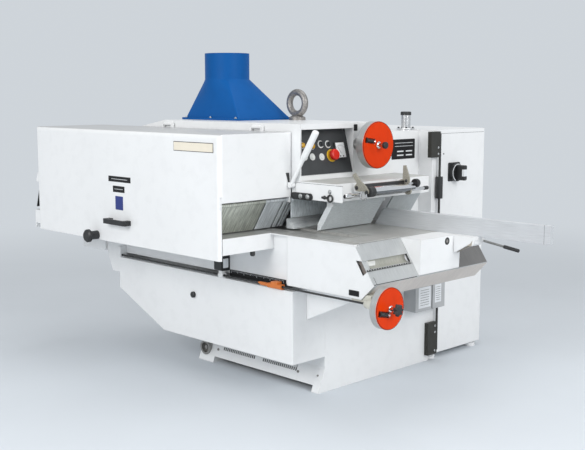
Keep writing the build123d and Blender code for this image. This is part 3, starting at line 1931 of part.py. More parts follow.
with BuildPart() as junction_box:
    block(
        (base_right, base_right + junction_depth),
        (junction_low_y, junction_low_y + junction_width),
        (junction_low_z, junction_low_z + junction_height),
    )
    split_y = junction_low_y + junction_width * 0.56
    block(
        (base_right + junction_depth - 14, base_right + junction_depth + 1),
        (split_y - 5, split_y + 5),
        (junction_low_z - 1, junction_low_z + junction_height + 1),
        mode=Mode.SUBTRACT,
    )
    fillet(junction_box.edges().filter_by(Axis.X).group_by(Axis.Y)[0], 6)

pieces = {
    "base_frame": base_frame,
    "base_front_cover": base_front_cover,
    "cover_lock_knob": cover_lock_knob,
    "table_casting": table_casting,
    "feed_chain": feed_chain,
    "idler_drum": idler_drum,
    "drive_drum": drive_drum,
    "feed_gearmotor": feed_gearmotor,
    "outfeed_table": outfeed_table,
    "table_front_skirt": table_front_skirt,
    "infeed_nose_plate": infeed_nose_plate,
    "infeed_end_block": infeed_end_block,
    "column": column,
    "overarm": overarm,
    "control_panel": control_panel,
    "panel_ammeter": panel_ammeter,
    "e_stop": e_stop,
    "guard_block": guard_block,
    "finger_row": finger_row,
    "finger_lever": finger_lever,
    "holddown_arm": holddown_arm,
    "holddown_roller": holddown_roller,
    "hood_shell": hood_shell,
    "splinter_curtain": splinter_curtain,
    "hood_handle": hood_handle,
    "hood_latch_knob": hood_latch_knob,
    "arbor_housing": arbor_housing,
    "saw_arbor": saw_arbor,
    "saw_blades": saw_blades,
    "saw_motor": saw_motor,
    "pressure_carrier_front": pressure_carrier_front,
    "pressure_carrier_rear": pressure_carrier_rear,
    "pressure_roller_front": pressure_roller_front,
    "pressure_roller_rear": pressure_roller_rear,
    "upper_handwheel": upper_handwheel,
    "upper_wheel_grip": upper_wheel_grip,
    "lower_handwheel": lower_handwheel,
    "lower_wheel_grip": lower_wheel_grip,
    "setting_shaft": setting_shaft,
    "wheel_bracket": wheel_bracket,
    "tail_bracket": tail_bracket,
    "pointer_nut": pointer_nut,
    "position_counter": position_counter,
    "fence_bar": fence_bar,
    "fence_carrier": fence_carrier,
    "fence_lever": fence_lever,
    "dust_hood": dust_hood,
    "lifting_eye": lifting_eye,
    "guide_pillar": guide_pillar,
    "cabinet_body": cabinet_body,
    "cabinet_door": cabinet_door,
    "door_hinge_rod": door_hinge_rod,
    "main_switch_handle": main_switch_handle,
    "switchgear_plate": switchgear_plate,
    "junction_box": junction_box,
    **buttons,
    **selectors,
}

os.makedirs("parts", exist_ok=True)
for piece_name, piece in pieces.items():
    piece.part.label = piece_name
    export_step(piece.part, f"parts/{piece_name}.step")
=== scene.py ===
from math import cos, pi, radians, sin

import bmesh
import bpy
from mathutils import Matrix, Vector


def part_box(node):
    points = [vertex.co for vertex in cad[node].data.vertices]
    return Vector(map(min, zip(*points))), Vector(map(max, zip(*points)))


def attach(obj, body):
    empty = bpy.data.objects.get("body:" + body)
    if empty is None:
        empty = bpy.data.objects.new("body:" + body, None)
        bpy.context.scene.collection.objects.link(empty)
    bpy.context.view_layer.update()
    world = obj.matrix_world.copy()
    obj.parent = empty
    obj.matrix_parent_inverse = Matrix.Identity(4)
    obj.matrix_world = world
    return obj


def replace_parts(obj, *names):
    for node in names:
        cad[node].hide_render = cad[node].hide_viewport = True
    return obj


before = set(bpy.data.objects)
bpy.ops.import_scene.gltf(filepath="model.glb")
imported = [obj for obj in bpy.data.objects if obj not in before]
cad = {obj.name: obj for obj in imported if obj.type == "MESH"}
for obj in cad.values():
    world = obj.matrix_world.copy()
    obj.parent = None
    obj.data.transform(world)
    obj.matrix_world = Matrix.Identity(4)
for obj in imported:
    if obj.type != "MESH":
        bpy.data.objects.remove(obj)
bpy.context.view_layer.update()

# Colours of paint and plastic, linear
WHITE = (0.80, 0.81, 0.815)
# Painted shade: white darkened for the hood's top faces
HOOD_TOP_PAINTED_SHADE = (0.48, 0.486, 0.489)
# Painted shade: warm grey for the guard block's top faces, in the overarm's shadow
GUARD_TOP_PAINTED_SHADE = (0.49, 0.495, 0.475)
PLATE_WHITE = (0.74, 0.76, 0.78)
DIAL_WHITE = (0.93, 0.94, 0.95)
PALE_PLASTIC = (0.72, 0.73, 0.71)
CREAM = (0.80, 0.74, 0.62)
# Painted shade: beige-brown for the fence carrier's rib and gusset strip in shadow
CARRIER_SHADE_BEIGE = (0.42, 0.38, 0.32)
# Painted shade: white darkened to cream for the lower wheel's bracket
BRACKET_PAINTED_SHADE = (0.60, 0.59, 0.52)
BLUE = (0.003, 0.088, 0.31)
PLATE_BLUE = (0.016, 0.034, 0.20)
SLATE = (0.24, 0.29, 0.35)
RED = (0.70, 0.042, 0.0005)
STOP_RED = (0.62, 0.022, 0.012)
EDGE_RED = (0.11, 0.022, 0.006)
ORANGE = (0.62, 0.17, 0.03)
YELLOW = (0.80, 0.50, 0.03)
AMBER = (0.55, 0.30, 0.02)
BLACK = (0.018, 0.019, 0.020)
HINGE_BLACK = (0.024, 0.023, 0.018)
PLATE_BLACK = (0.014, 0.014, 0.015)
INK = (0.03, 0.03, 0.035)
RUBBER = (0.035, 0.036, 0.036)
PANEL = (0.040, 0.043, 0.046)
METER = (0.055, 0.058, 0.06)
CAST_GREY = (0.20, 0.22, 0.23)
CARRIER_GREY = (0.30, 0.33, 0.34)
SWITCHGEAR_GREY = (0.34, 0.35, 0.35)
BOX_GREY = (0.44, 0.45, 0.46)
BACKDROP = (0.62, 0.66, 0.70)

# Colours of metal, linear
STEEL = (0.56, 0.57, 0.57)
DARK_STEEL = (0.10, 0.10, 0.10)
GROUND_TOP = (0.52, 0.52, 0.50)
CHAIN = (0.50, 0.50, 0.48)
SHEET = (0.56, 0.575, 0.575)
# Painted light: lighter, warmer sheet for the nose plate's lower strip
LOWER_SHEET_PAINTED_LIGHT = (0.69, 0.635, 0.59)
DARK_SHEET = (0.215, 0.21, 0.205)
NOTCH = (0.27, 0.24, 0.22)
TROUGH = (0.46, 0.46, 0.41)
FINGER = (0.74, 0.79, 0.81)
FINGER_SIDE = (0.80, 0.84, 0.86)
CURTAIN = (0.60, 0.63, 0.56)
CURTAIN_END = (0.74, 0.79, 0.82)
LAMELLA = (0.80, 0.86, 0.89)
COMB = (0.90, 0.95, 0.97)
BOSS = (0.42, 0.41, 0.39)
FORGED = (0.33, 0.315, 0.30)
BLADE = (0.55, 0.56, 0.57)
RIM = (0.56, 0.56, 0.55)
LEVER = (0.40, 0.38, 0.32)
LEVER_ROD = (0.30, 0.30, 0.29)
HINGE_ROD = (0.05, 0.05, 0.05)
CHROME = (0.76, 0.76, 0.76)
PILLAR_CHROME = (0.74, 0.74, 0.74)
# Painted highlight and painted shade: bright and dark bands on the hold-down roller
ROLLER_PAINTED_HIGHLIGHT = (0.86, 0.86, 0.86)
ROLLER_SHADE = (0.26, 0.27, 0.28)
ALUMINIUM = (0.66, 0.68, 0.70)
ALUMINIUM_JOINT = (0.20, 0.21, 0.22)


# Shader steps

def feed(tree, node, inputs):
    """Gives inputs of a node their links or values."""
    for name, value in inputs.items():
        if isinstance(value, bpy.types.NodeSocket):
            tree.links.new(value, node.inputs[name])
        else:
            node.inputs[name].default_value = value


def add_node(tree, kind, inputs, **settings):
    """New node with its settings and inputs."""
    node = tree.nodes.new(kind)
    for setting, value in settings.items():
        setattr(node, setting, value)
    feed(tree, node, inputs)
    return node


def socket_vector(tree, kind="Object"):
    """Object position, object normal or world normal of the shaded point."""
    if kind == "World":
        return tree.nodes.new("ShaderNodeNewGeometry").outputs["Normal"]
    return tree.nodes.new("ShaderNodeTexCoord").outputs[kind]


def coordinates(tree, kind="Object"):
    """X, Y and Z of the shaded point's position or normal."""
    return add_node(tree, "ShaderNodeSeparateXYZ", {"Vector": socket_vector(tree, kind)}).outputs


def noise(tree, scale, detail, stretch=(1, 1, 1)):
    """Noise in object space, stretched along the axes."""
    mapping = add_node(tree, "ShaderNodeMapping", {"Vector": socket_vector(tree), "Scale": stretch})
    inputs = {"Vector": mapping.outputs["Vector"], "Scale": scale, "Detail": detail}
    return add_node(tree, "ShaderNodeTexNoise", inputs).outputs["Fac"]


def ramp(tree, factor, low_colour, high_colour, low=0.32, high=0.68):
    """Colour between two colours over the middle of a factor."""
    node = add_node(tree, "ShaderNodeValToRGB", {"Fac": factor})
    first, last = node.color_ramp.elements
    first.position = low
    first.color = (*low_colour, 1)
    last.position = high
    last.color = (*high_colour, 1)
    return node.outputs["Color"]


def spread(tree, factor, low, high):
    """Value between two values over the middle of a factor."""
    inputs = {"Value": factor, "From Min": 0.3, "From Max": 0.7, "To Min": low, "To Max": high}
    return add_node(tree, "ShaderNodeMapRange", inputs).outputs["Result"]


def maths(tree, operation, first, second):
    """One maths step; each side is a socket or a number."""
    return add_node(tree, "ShaderNodeMath", {0: first, 1: second}, operation=operation).outputs["Value"]


def mix(tree, kind, factor, first, second, blend="MIX"):
    """Two colours (kind RGBA) or values (kind FLOAT) mixed by a factor."""
    inputs = {"Factor": factor, "A": first, "B": second}
    return add_node(tree, "ShaderNodeMix", inputs, data_type=kind, blend_type=blend).outputs["Result"]


def shade(colour, amount):
    """Colour made darker or lighter by a factor."""
    return tuple(min(1.0, part * amount) for part in colour)


# Layers: each gives a function that builds the layer in a node tree

def paint(colour, rough=0.36, drift=0.05, peel=420.0):
    """Sprayed paint: slow drift of tone, faint grime, orange peel."""
    def build(tree):
        tone = ramp(tree, noise(tree, 1.3, 5), shade(colour, 1 - drift), colour)
        grime = ramp(tree, noise(tree, 17, 8), shade((1, 1, 1), 1 - drift * 0.5), (1, 1, 1), 0.35, 0.5)
        return {
            "colour": mix(tree, "RGBA", 1.0, tone, grime, "MULTIPLY"),
            "rough": spread(tree, noise(tree, 6, 4), rough - 0.06, rough + 0.08),
            "metal": 0.0,
            "height": noise(tree, peel, 2),
            "relief": 0.00010,
        }
    return build


def metal(colour, rough, stretch, scale, drift, metallic=1.0):
    """Machined or rolled metal with streaks along its grain."""
    def build(tree):
        streak = noise(tree, scale, 6, stretch)
        cloud = noise(tree, 3.5, 6)
        fine = ramp(tree, streak, shade(colour, 1 - drift), shade(colour, 1 + drift * 0.3))
        stain = ramp(tree, cloud, shade((1, 1, 1), 1 - drift * 0.8), (1, 1, 1), 0.3, 0.6)
        return {
            "colour": mix(tree, "RGBA", 1.0, fine, stain, "MULTIPLY"),
            "rough": spread(tree, streak, rough - 0.08, rough + 0.10),
            "metal": metallic,
            "height": streak,
            "relief": 0.00008,
        }
    return build


def plastic(colour, rough=0.45):
    """Moulded plastic with a fine spark-eroded grain."""
    def build(tree):
        return {
            "colour": ramp(tree, noise(tree, 12, 4), shade(colour, 0.82), shade(colour, 1.08)),
            "rough": spread(tree, noise(tree, 40, 3), rough - 0.05, rough + 0.07),
            "metal": 0.0,
            "height": noise(tree, 900, 1),
            "relief": 0.00012,
        }
    return build


def joined(mask, base, over):
    """Layer over where the mask is 1, base elsewhere."""
    def build(tree):
        factor = mask(tree)
        first = base(tree)
        second = over(tree)
        layer = {"colour": mix(tree, "RGBA", factor, first["colour"], second["colour"])}
        for part in ("rough", "metal", "height"):
            layer[part] = mix(tree, "FLOAT", factor, first[part], second[part])
        layer["relief"] = max(first["relief"], second["relief"])
        return layer
    return build


# Masks: each gives a function that builds the mask in a node tree

def beyond(axis, limit, kind="Object"):
    """Mask that is 1 where a coordinate of the position or normal is over a limit."""
    return lambda tree: maths(tree, "GREATER_THAN", coordinates(tree, kind)[axis], limit)


def below(axis, limit, kind="Object"):
    """Mask that is 1 where a coordinate of the position or normal is not over a limit."""
    return lambda tree: maths(tree, "SUBTRACT", 1.0, beyond(axis, limit, kind)(tree))


def both(first, second):
    """Mask that is 1 where two masks are 1."""
    return lambda tree: maths(tree, "MULTIPLY", first(tree), second(tree))


def within(axis, low, high):
    """Mask that is 1 between two limits of a coordinate."""
    return both(beyond(axis, low), below(axis, high))


def near_line(axes, centre, radius):
    """Mask that is 1 inside a radius about a line square to two axes."""
    def build(tree):
        point = coordinates(tree)
        squares = []
        for axis, value in zip(axes, centre):
            offset = maths(tree, "SUBTRACT", point[axis], value)
            squares.append(maths(tree, "MULTIPLY", offset, offset))
        return maths(tree, "LESS_THAN", maths(tree, "ADD", *squares), radius * radius)
    return build


# Finishes

def material(name, build, nodes="", edge=0.0, coat=0.0, gloss=0.5):
    """Principled material from a layer, given to CAD nodes; edge rounds sharp edges in the shading."""
    made = bpy.data.materials.new(name)
    made.use_nodes = True
    tree = made.node_tree
    layer = build(tree)
    relief = {"Strength": 0.35, "Distance": layer["relief"], "Height": layer["height"]}
    bump = add_node(tree, "ShaderNodeBump", relief)
    if edge:
        bevel = add_node(tree, "ShaderNodeBevel", {"Radius": edge}, samples=4)
        feed(tree, bump, {"Normal": bevel.outputs["Normal"]})
    feed(tree, tree.nodes["Principled BSDF"], {
        "Base Color": layer["colour"],
        "Roughness": layer["rough"],
        "Metallic": layer["metal"],
        "Coat Weight": coat,
        "Specular IOR Level": gloss,
        "Normal": bump.outputs["Normal"],
    })
    for node in nodes.split():
        slots = cad[node].data.materials
        if len(slots):
            for index in range(len(slots)):
                slots[index] = made
        else:
            slots.append(made)
    return made


table_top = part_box("table_casting")[1].z
hinge_axis = (0.447, 0.536)
boss_axis = (-0.502, 0.074)
facing_up = beyond("Z", 0.85, "Normal")
white_paint = paint(WHITE)
black_plastic = plastic(BLACK)
sheet_metal = metal(SHEET, 0.38, (2, 50, 2), 8.0, 0.14, 0.6)

white = material(
    "white_enamel",
    white_paint,
    "base_front_cover infeed_end_block column overarm cabinet_body tail_bracket finger_lever fence_carrier",
    edge=0.004,
    coat=0.15,
)
table_finish = material(
    "table_enamel_and_ground_top",
    joined(
        beyond("Z", table_top - 0.0008),
        white_paint,
        metal(GROUND_TOP, 0.42, (60, 2, 2), 9.0, 0.20, 0.45),
    ),
    "table_casting outfeed_table",
    edge=0.003,
)
material(
    "base_enamel_and_boss",
    joined(
        both(near_line("XZ", boss_axis, 0.0422), below("Y", -0.36)),
        white_paint,
        metal(BOSS, 0.4, (8, 8, 8), 30.0, 0.3, 0.6),
    ),
    "base_frame",
    edge=0.004,
    coat=0.15,
)
# The guard block's top faces carry painted shade, a darker warm grey than the white enamel
material(
    "guard_enamel_painted_shade_top_and_deflector",
    joined(
        both(beyond("Y", 0.0385), below("Z", 1.0158)),
        joined(both(facing_up, beyond("Z", 1.02)), white_paint, paint(GUARD_TOP_PAINTED_SHADE, 0.5, 0.12)),
        metal(shade(FINGER, 0.72), 0.42, (3, 30, 3), 12.0, 0.2, 0.2),
    ),
    "guard_block",
    edge=0.004,
    coat=0.15,
)
material(
    "skirt_enamel_and_cut_edge",
    joined(beyond("X", 0.4, "Normal"), white_paint, sheet_metal),
    "table_front_skirt",
    edge=0.003,
    coat=0.15,
)
material(
    "door_enamel_and_hinge_sleeve",
    joined(both(near_line("XY", hinge_axis, 0.0212), within("Z", 0.945, 1.082)), white_paint, black_plastic),
    "cabinet_door",
    edge=0.004,
    coat=0.15,
)
# The nose plate's lower strip carries painted light, lighter and warmer than the sheet above it
sheet = material(
    "rolled_sheet",
    joined(
        both(beyond("Y", 0.0302), within("Z", 0.675, 0.852)),
        joined(below("Z", 0.6712), sheet_metal, metal(LOWER_SHEET_PAINTED_LIGHT, 0.42, (2, 50, 2), 8.0, 0.16, 0.5)),
        metal(DARK_SHEET, 0.45, (2, 50, 2), 8.0, 0.2, 0.5),
    ),
    "infeed_nose_plate",
    edge=0.002,
)
material("chain_steel", metal(CHAIN, 0.42, (40, 2, 2), 12.0, 0.25, 0.45), "feed_chain")
material(
    "finger_steel",
    joined(
        below("Y", -0.5, "Normal"),
        metal(FINGER, 0.42, (3, 3, 30), 16.0, 0.16, 0.2),
        metal(FINGER_SIDE, 0.36, (3, 3, 30), 16.0, 0.10, 0.15),
    ),
    "finger_row",
    edge=0.0015,
)
curtain_finish = material(
    "curtain_steel",
    joined(
        beyond("Y", -0.644),
        metal(CURTAIN, 0.40, (1.5, 30, 1.5), 10.0, 0.55, 0.4),
        metal(CURTAIN_END, 0.40, (1.5, 30, 1.5), 10.0, 0.40, 0.25),
    ),
    edge=0.002,
)
material("cast_grey", paint(CAST_GREY, 0.5, 0.2, 160), "feed_gearmotor saw_motor arbor_housing", edge=0.003)
material("panel_black", plastic(PANEL, 0.5), "control_panel left_selector right_selector", edge=0.002)
material("meter_case", plastic(METER, 0.4), "panel_ammeter", edge=0.001)
steel = material(
    "bare_steel",
    metal(STEEL, 0.32, (3, 3, 3), 40.0, 0.2),
    "drive_drum idler_drum saw_arbor pressure_roller_front pressure_roller_rear",
    edge=0.0015,
)
dark_steel = material("dark_steel", metal(DARK_STEEL, 0.42, (2, 40, 40), 20.0, 0.3), edge=0.001)
material(
    "counter_plastic_and_stub",
    joined(below("Z", 0.6115), black_plastic, white_paint),
    "position_counter",
    edge=0.003,
)
material("blue_enamel", paint(BLUE, 0.5, 0.10), "dust_hood", edge=0.004, gloss=0.12)
forged = material("forged_steel", metal(FORGED, 0.46, (1, 1, 1), 70.0, 0.3, 0.7), "lifting_eye")
pillar_finish = material(
    "pillar_chrome_and_cap",
    joined(beyond("Z", 1.4252), metal(PILLAR_CHROME, 0.20, (30, 30, 1), 20.0, 0.14), black_plastic),
)
material(
    "hinge_covers_and_rod",
    joined(
        near_line("XY", hinge_axis, 0.0074),
        plastic(HINGE_BLACK),
        metal(HINGE_ROD, 0.34, (20, 20, 1), 20.0, 0.2, 0.4),
    ),
    "door_hinge_rod",
    edge=0.003,
)
material("switchgear", plastic(SWITCHGEAR_GREY), "switchgear_plate", edge=0.003)
material("box_grey", paint(BOX_GREY, 0.4, 0.1), "junction_box", edge=0.003)
black = material(
    "black_plastic",
    black_plastic,
    "hood_handle hood_latch_knob cover_lock_knob upper_wheel_grip lower_wheel_grip main_switch_handle",
    edge=0.002,
)
material("blade_steel", metal(BLADE, 0.24, (4, 1, 4), 30.0, 0.2), "saw_blades")
lamella_finish = material("lamella_steel", metal(LAMELLA, 0.45, (3, 30, 3), 12.0, 0.35, 0.1), edge=0.001)
comb_finish = material("comb_steel", metal(COMB, 0.40, (30, 3, 3), 10.0, 0.25, 0.1), edge=0.001)
material(
    "carrier_iron",
    paint(CARRIER_GREY, 0.45, 0.15),
    "pressure_carrier_front pressure_carrier_rear",
    edge=0.003,
)
material(
    "wheel_red_face_and_rim",
    joined(
        beyond("X", 0.55, "Normal"),
        metal(RIM, 0.36, (20, 2, 2), 18.0, 0.16, 0.85),
        paint(RED, 0.34, 0.14),
    ),
    "upper_handwheel lower_handwheel",
    edge=0.002,
    gloss=0.12,
)
wheel_line = material("wheel_edge_line", paint(EDGE_RED, 0.5, 0.2), gloss=0.2)
# Painted shade: darker, warmer copies of the white enamel for the carrier's rib and the lower wheel's bracket
rib_shade_finish = material("fence_rib_painted_shade", paint(CARRIER_SHADE_BEIGE, 0.5, 0.15))
bracket_shade_finish = material("bracket_enamel_painted_shade", paint(BRACKET_PAINTED_SHADE, 0.4, 0.12), edge=0.002)
# The hood's top faces carry painted shade, a darker grey than the white enamel
material(
    "hood_enamel_and_painted_shade_top",
    joined(both(facing_up, beyond("Z", 1.30)), white_paint, paint(HOOD_TOP_PAINTED_SHADE, 0.5, 0.08)),
    "hood_shell",
    edge=0.004,
    coat=0.15,
)
orange = material("orange_plastic", plastic(ORANGE, 0.4), "pointer_nut", edge=0.003)
lever_plate = material("lever_plate", metal(LEVER, 0.42, (6, 6, 6), 30.0, 0.25, 0.5), edge=0.001)
# Bands by world normal: a painted highlight on the roller's top and painted shade on its sides
roller_finish = material(
    "roller_painted_highlight_and_shade_and_cap",
    joined(
        below("Y", -0.3125),
        joined(
            both(beyond("Z", -0.80, "World"), below("Z", 0.08, "World")),
            metal(ROLLER_PAINTED_HIGHLIGHT, 0.16, (2, 40, 40), 14.0, 0.08),
            metal(ROLLER_SHADE, 0.16, (2, 40, 40), 14.0, 0.20),
        ),
        black_plastic,
    ),
)
material(
    "fence_aluminium",
    joined(
        within("X", 1.4462, 1.4482),
        metal(ALUMINIUM, 0.40, (1, 40, 40), 10.0, 0.12, 0.45),
        metal(ALUMINIUM_JOINT, 0.40, (1, 40, 40), 10.0, 0.12, 0.5),
    ),
    "fence_bar",
    edge=0.002,
)
material(
    "lever_hub_rod_and_grip",
    joined(
        beyond("X", 1.0885),
        white_paint,
        joined(beyond("X", 1.2062), metal(LEVER_ROD, 0.34, (1, 30, 30), 20.0, 0.3), black_plastic),
    ),
    "fence_lever",
)
material("stop_red", plastic(STOP_RED, 0.3), "e_stop", edge=0.003)
pale_plastic = material("pale_plastic", plastic(PALE_PLASTIC, 0.34), "black_button white_button", edge=0.001)
material("slate_plastic", plastic(SLATE, 0.34), "green_button", edge=0.001)
cream = material("cream_plate", paint(CREAM, 0.3, 0.06), edge=0.0005)
blue_plate = material("blue_plate", paint(PLATE_BLUE, 0.4, 0.08), edge=0.0005)
black_plate = material("black_plate", paint(PLATE_BLACK, 0.4, 0.15), gloss=0.2)
white_plate = material("white_plate", paint(PLATE_WHITE, 0.3, 0.06))
ink = material("ink_line", paint(INK, 0.4, 0.3))
yellow = material("yellow_plastic", plastic(YELLOW, 0.35), edge=0.001)
amber = material("amber_lamp", plastic(AMBER, 0.15), edge=0.001)
chrome = material("chrome", metal(CHROME, 0.14, (2, 2, 2), 30.0, 0.1))
dial_white = material("dial_white", paint(DIAL_WHITE, 0.3, 0.05))
notch_brown = material("notch_sheet", metal(NOTCH, 0.5, (2, 30, 2), 10.0, 0.3, 0.2))
trough_grey = material("trough_sheet", metal(TROUGH, 0.42, (2, 30, 2), 10.0, 0.25, 0.3))
rubber = material("rubber", plastic(RUBBER, 0.7))


# Faces and outlines

FRONT = (0, -1, 0)
BACK = (0, 1, 0)
INFEED = (1, 0, 0)
UP = (0, 0, 1)


def basis(at, out, up=UP):
    """Frame of a face: first axis to the right, second up, third out of the face."""
    out = Vector(out).normalized()
    right = Vector(up).cross(out).normalized()
    top = out.cross(right)
    matrix = Matrix((right, top, out)).transposed().to_4x4()
    matrix.translation = Vector(at)
    return matrix


def flat(at):
    """Face that looks up: first axis along the feed, second across it."""
    return basis(at, UP, BACK)


def front_of(name):
    """Face on the front of a node; places on it are (x, z)."""
    return basis((0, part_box(name)[0].y, 0), FRONT)


def end_of(name):
    """Face on the infeed end of a node; places on it are (y, z)."""
    return basis((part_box(name)[1].x, 0, 0), INFEED)


def middle_of(name):
    """Middle of a node's box to the millimetre, as the mesh of a round form is a little off."""
    low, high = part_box(name)
    return Vector([round(part, 3) for part in (low + high) / 2])


def hub_of(name):
    """Face on the middle of a node's infeed end."""
    middle = middle_of(name)
    return basis((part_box(name)[1].x, middle.y, middle.z), INFEED)


def oblong(left, right, low, high):
    """Outline of a rectangle between its sides."""
    return [(left, low), (right, low), (right, high), (left, high)]


def rounded(width, height, radius, steps=5):
    """Outline of a rectangle with round corners, about its middle."""
    points = []
    for corner in range(4):
        sign_x = (1, -1, -1, 1)[corner]
        sign_y = (1, 1, -1, -1)[corner]
        for step in range(steps + 1):
            angle = (corner + step / steps) * pi / 2
            x = sign_x * (width / 2 - radius) + radius * cos(angle)
            y = sign_y * (height / 2 - radius) + radius * sin(angle)
            points.append((x, y))
    return points


def moved(outline, right, up):
    """Outline shifted on its face."""
    return [(right + x, up + y) for x, y in outline]


def circle(radius, steps):
    """Outline of a circle."""
    turn = [2 * pi * step / steps for step in range(steps)]
    return [(radius * cos(a), radius * sin(a)) for a in turn]


def raised(face, outline, height):
    """Points of an outline at a height over a face."""
    return [face @ Vector((x, y, height)) for x, y in outline]


# Forms: lists of skins; a skin is (closed, rings) and ends in faces if closed, else it runs in a loop

def plate(face, outline, thick, bevel=0.0006, lift=0.0):
    """Flat plate on a face with a small bevel round its front."""
    middle_x = sum(x for x, _ in outline) / len(outline)
    middle_y = sum(y for _, y in outline) / len(outline)
    reach = max(max(abs(x - middle_x), abs(y - middle_y)) for x, y in outline)
    inner = 1 - bevel / reach
    top = [(middle_x + (x - middle_x) * inner, middle_y + (y - middle_y) * inner) for x, y in outline]
    levels = ((outline, lift), (outline, lift + thick - bevel), (top, lift + thick))
    return [(True, [raised(face, points, level) for points, level in levels])]


def plates(face, sizes, thick=0.0015, radius=0.002, lift=0.00005):
    """Bare plates on one face: (right, up, width, height) each."""
    forms = []
    for right, up, width, height in sizes:
        outline = moved(rounded(width, height, min(radius, width / 2, height / 2)), right, up)
        forms += plate(face, outline, thick, min(0.0004, thick / 3), lift)
    return forms


def turned(face, profile, steps=32):
    """Turned form on a face: (radius, height) points from the face outwards."""
    return [(True, [raised(face, circle(radius, steps), height) for radius, height in profile])]


def hollow(face, profile, steps=40):
    """Turned form with a bore: (radius, height) points round its closed section."""
    return [(False, [raised(face, circle(radius, steps), height) for radius, height in profile])]


def washer(face, inner, outer, low, high, steps=40):
    """Flat ring on a face."""
    edge = min(0.0008, (outer - inner) / 4, (high - low) / 2)
    return hollow(face, [
        (inner, low), (outer, low), (outer, high - edge),
        (outer - edge, high), (inner + edge, high), (inner, high - edge),
    ], steps)


def torus(face, ring, bar):
    """Closed round ring lying on a face."""
    return hollow(face, [(ring + across, up) for across, up in circle(bar, 12)], 36)


def hex_bolt(face, radius, height):
    """Hexagon head on a washer."""
    foot = [(radius * 1.5, 0), (radius * 1.5, height * 0.2), (radius * 1.4, height * 0.26)]
    head = [(radius, height * 0.26), (radius, height * 0.9), (radius * 0.86, height)]
    return turned(face, foot, 24) + turned(face, head, 6)


def cap_screw(face, radius, height):
    """Round socket screw with its hole."""
    profile = ((1.0, 0.0), (1.0, 0.8), (0.88, 1.0), (0.52, 1.0), (0.50, 0.45))
    return turned(face, [(radius * across, height * level) for across, level in profile], 24)


def tube(points, radius, steps=12):
    """Round bar through points."""
    rings = []
    for place, point in enumerate(points):
        before = Vector(points[max(place - 1, 0)])
        after = Vector(points[min(place + 1, len(points) - 1)])
        rings.append(raised(basis(point, after - before, (0.31, 0.17, 0.93)), circle(radius, steps), 0))
    return [(True, rings)]


def block(low, high):
    """Block between two corners with bevelled upright edges and top."""
    bevel = 0.002
    size_x, size_y, size_z = (high[axis] - low[axis] for axis in range(3))
    face = flat(((low[0] + high[0]) / 2, (low[1] + high[1]) / 2, low[2]))
    return plate(face, rounded(size_x, size_y, bevel, 3), size_z, bevel)


def each(form, faces, *sizes):
    """One form on several faces."""
    return [skin for face in faces for skin in form(face, *sizes)]


def piece(name, finish, body, forms):
    """Turns forms into a named piece that rides on a body."""
    bm = bmesh.new()
    for closed, rings in forms:
        rows = [[bm.verts.new(point) for point in ring] for ring in rings]
        following = rows[1:] if closed else rows[1:] + rows[:1]
        for first, second in zip(rows, following):
            for place in range(len(first)):
                after = (place + 1) % len(first)
                bm.faces.new((first[place], first[after], second[after], second[place]))
        if closed:
            bm.faces.new(list(reversed(rows[0])))
            bm.faces.new(rows[-1])
    bmesh.ops.recalc_face_normals(bm, faces=bm.faces)
    mesh = bpy.data.meshes.new(name)
    bm.to_mesh(mesh)
    bm.free()
    mesh.materials.append(finish)
    for polygon in mesh.polygons:
        polygon.use_smooth = True
    mesh.set_sharp_from_angle(angle=radians(32))
    made = bpy.data.objects.new(name, mesh)
    bpy.context.scene.collection.objects.link(made)
    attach(made, body)
    return made


# Thickness of printed lines
LINE = 0.0003

# Bare plates on the hood
hood_face = front_of("hood_shell")
sign_middle = (0.072, 1.289)
strip_plates = ((-0.560, 1.090, 0.204, 0.030), (-0.568, 1.036, 0.107, 0.034))
strip_lines = [(right, up, width * 0.72, 0.0022) for right, up, width, _ in strip_plates]
piece("hood_sign_edge", ink, "hood", plates(hood_face, [(*sign_middle, 0.308, 0.047)], thick=0.0012))
piece("hood_sign", cream, "hood", plates(hood_face, [(*sign_middle, 0.302, 0.041)], thick=0.001, lift=0.0012))
piece("hood_strip_plates", black_plate, "hood", plates(hood_face, strip_plates))
piece("hood_blue_plate", blue_plate, "hood", plates(hood_face, [(-0.566, 0.961, 0.070, 0.074)]))
piece(
    "hood_plate_lines", white_plate, "hood", plates(hood_face, strip_lines, LINE, radius=0.001, lift=0.0016)
)

# Rubber flap with its ribs and ears outside the hood's far end
hood_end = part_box("hood_shell")[0].x
flap_lean = radians(18)
flap_out = (-cos(flap_lean), 0, sin(flap_lean))
flap_thick = 0.006
flap_y = -0.775
flap_top = 1.010
flap_face = basis((hood_end - flap_thick, flap_y, flap_top), flap_out)
rib_face = basis((hood_end - 2 * flap_thick, flap_y, flap_top), flap_out)
flap = plate(flap_face, oblong(-0.165, 0.165, -0.150, 0.004), flap_thick, 0.001)
for step in range(6):
    flap += plate(rib_face, moved(rounded(0.010, 0.130, 0.004), -0.145 + 0.058 * step, -0.075), 0.003, 0.001)
piece("outfeed_flap", rubber, "hood", flap)
ear = [(0.002, -0.030), (0.002, 0.028), (-0.010, 0.028), (-0.026, -0.012), (-0.026, -0.030)]
ear_faces = [basis((hood_end, y, 1.050), FRONT) for y in (-0.948, -0.606)]
piece("outfeed_flap_ears", white, "hood", each(plate, ear_faces, ear, 0.006, 0.001))

# Dark plate on the hood's end wall behind the finger lever
slot = [(-0.500, 1.082), (-0.492, 1.081), (-0.498, 1.147), (-0.522, 1.148)]
piece("hood_end_dark_plate", rubber, "hood", plate(end_of("hood_shell"), slot, 0.001, 0.0002))

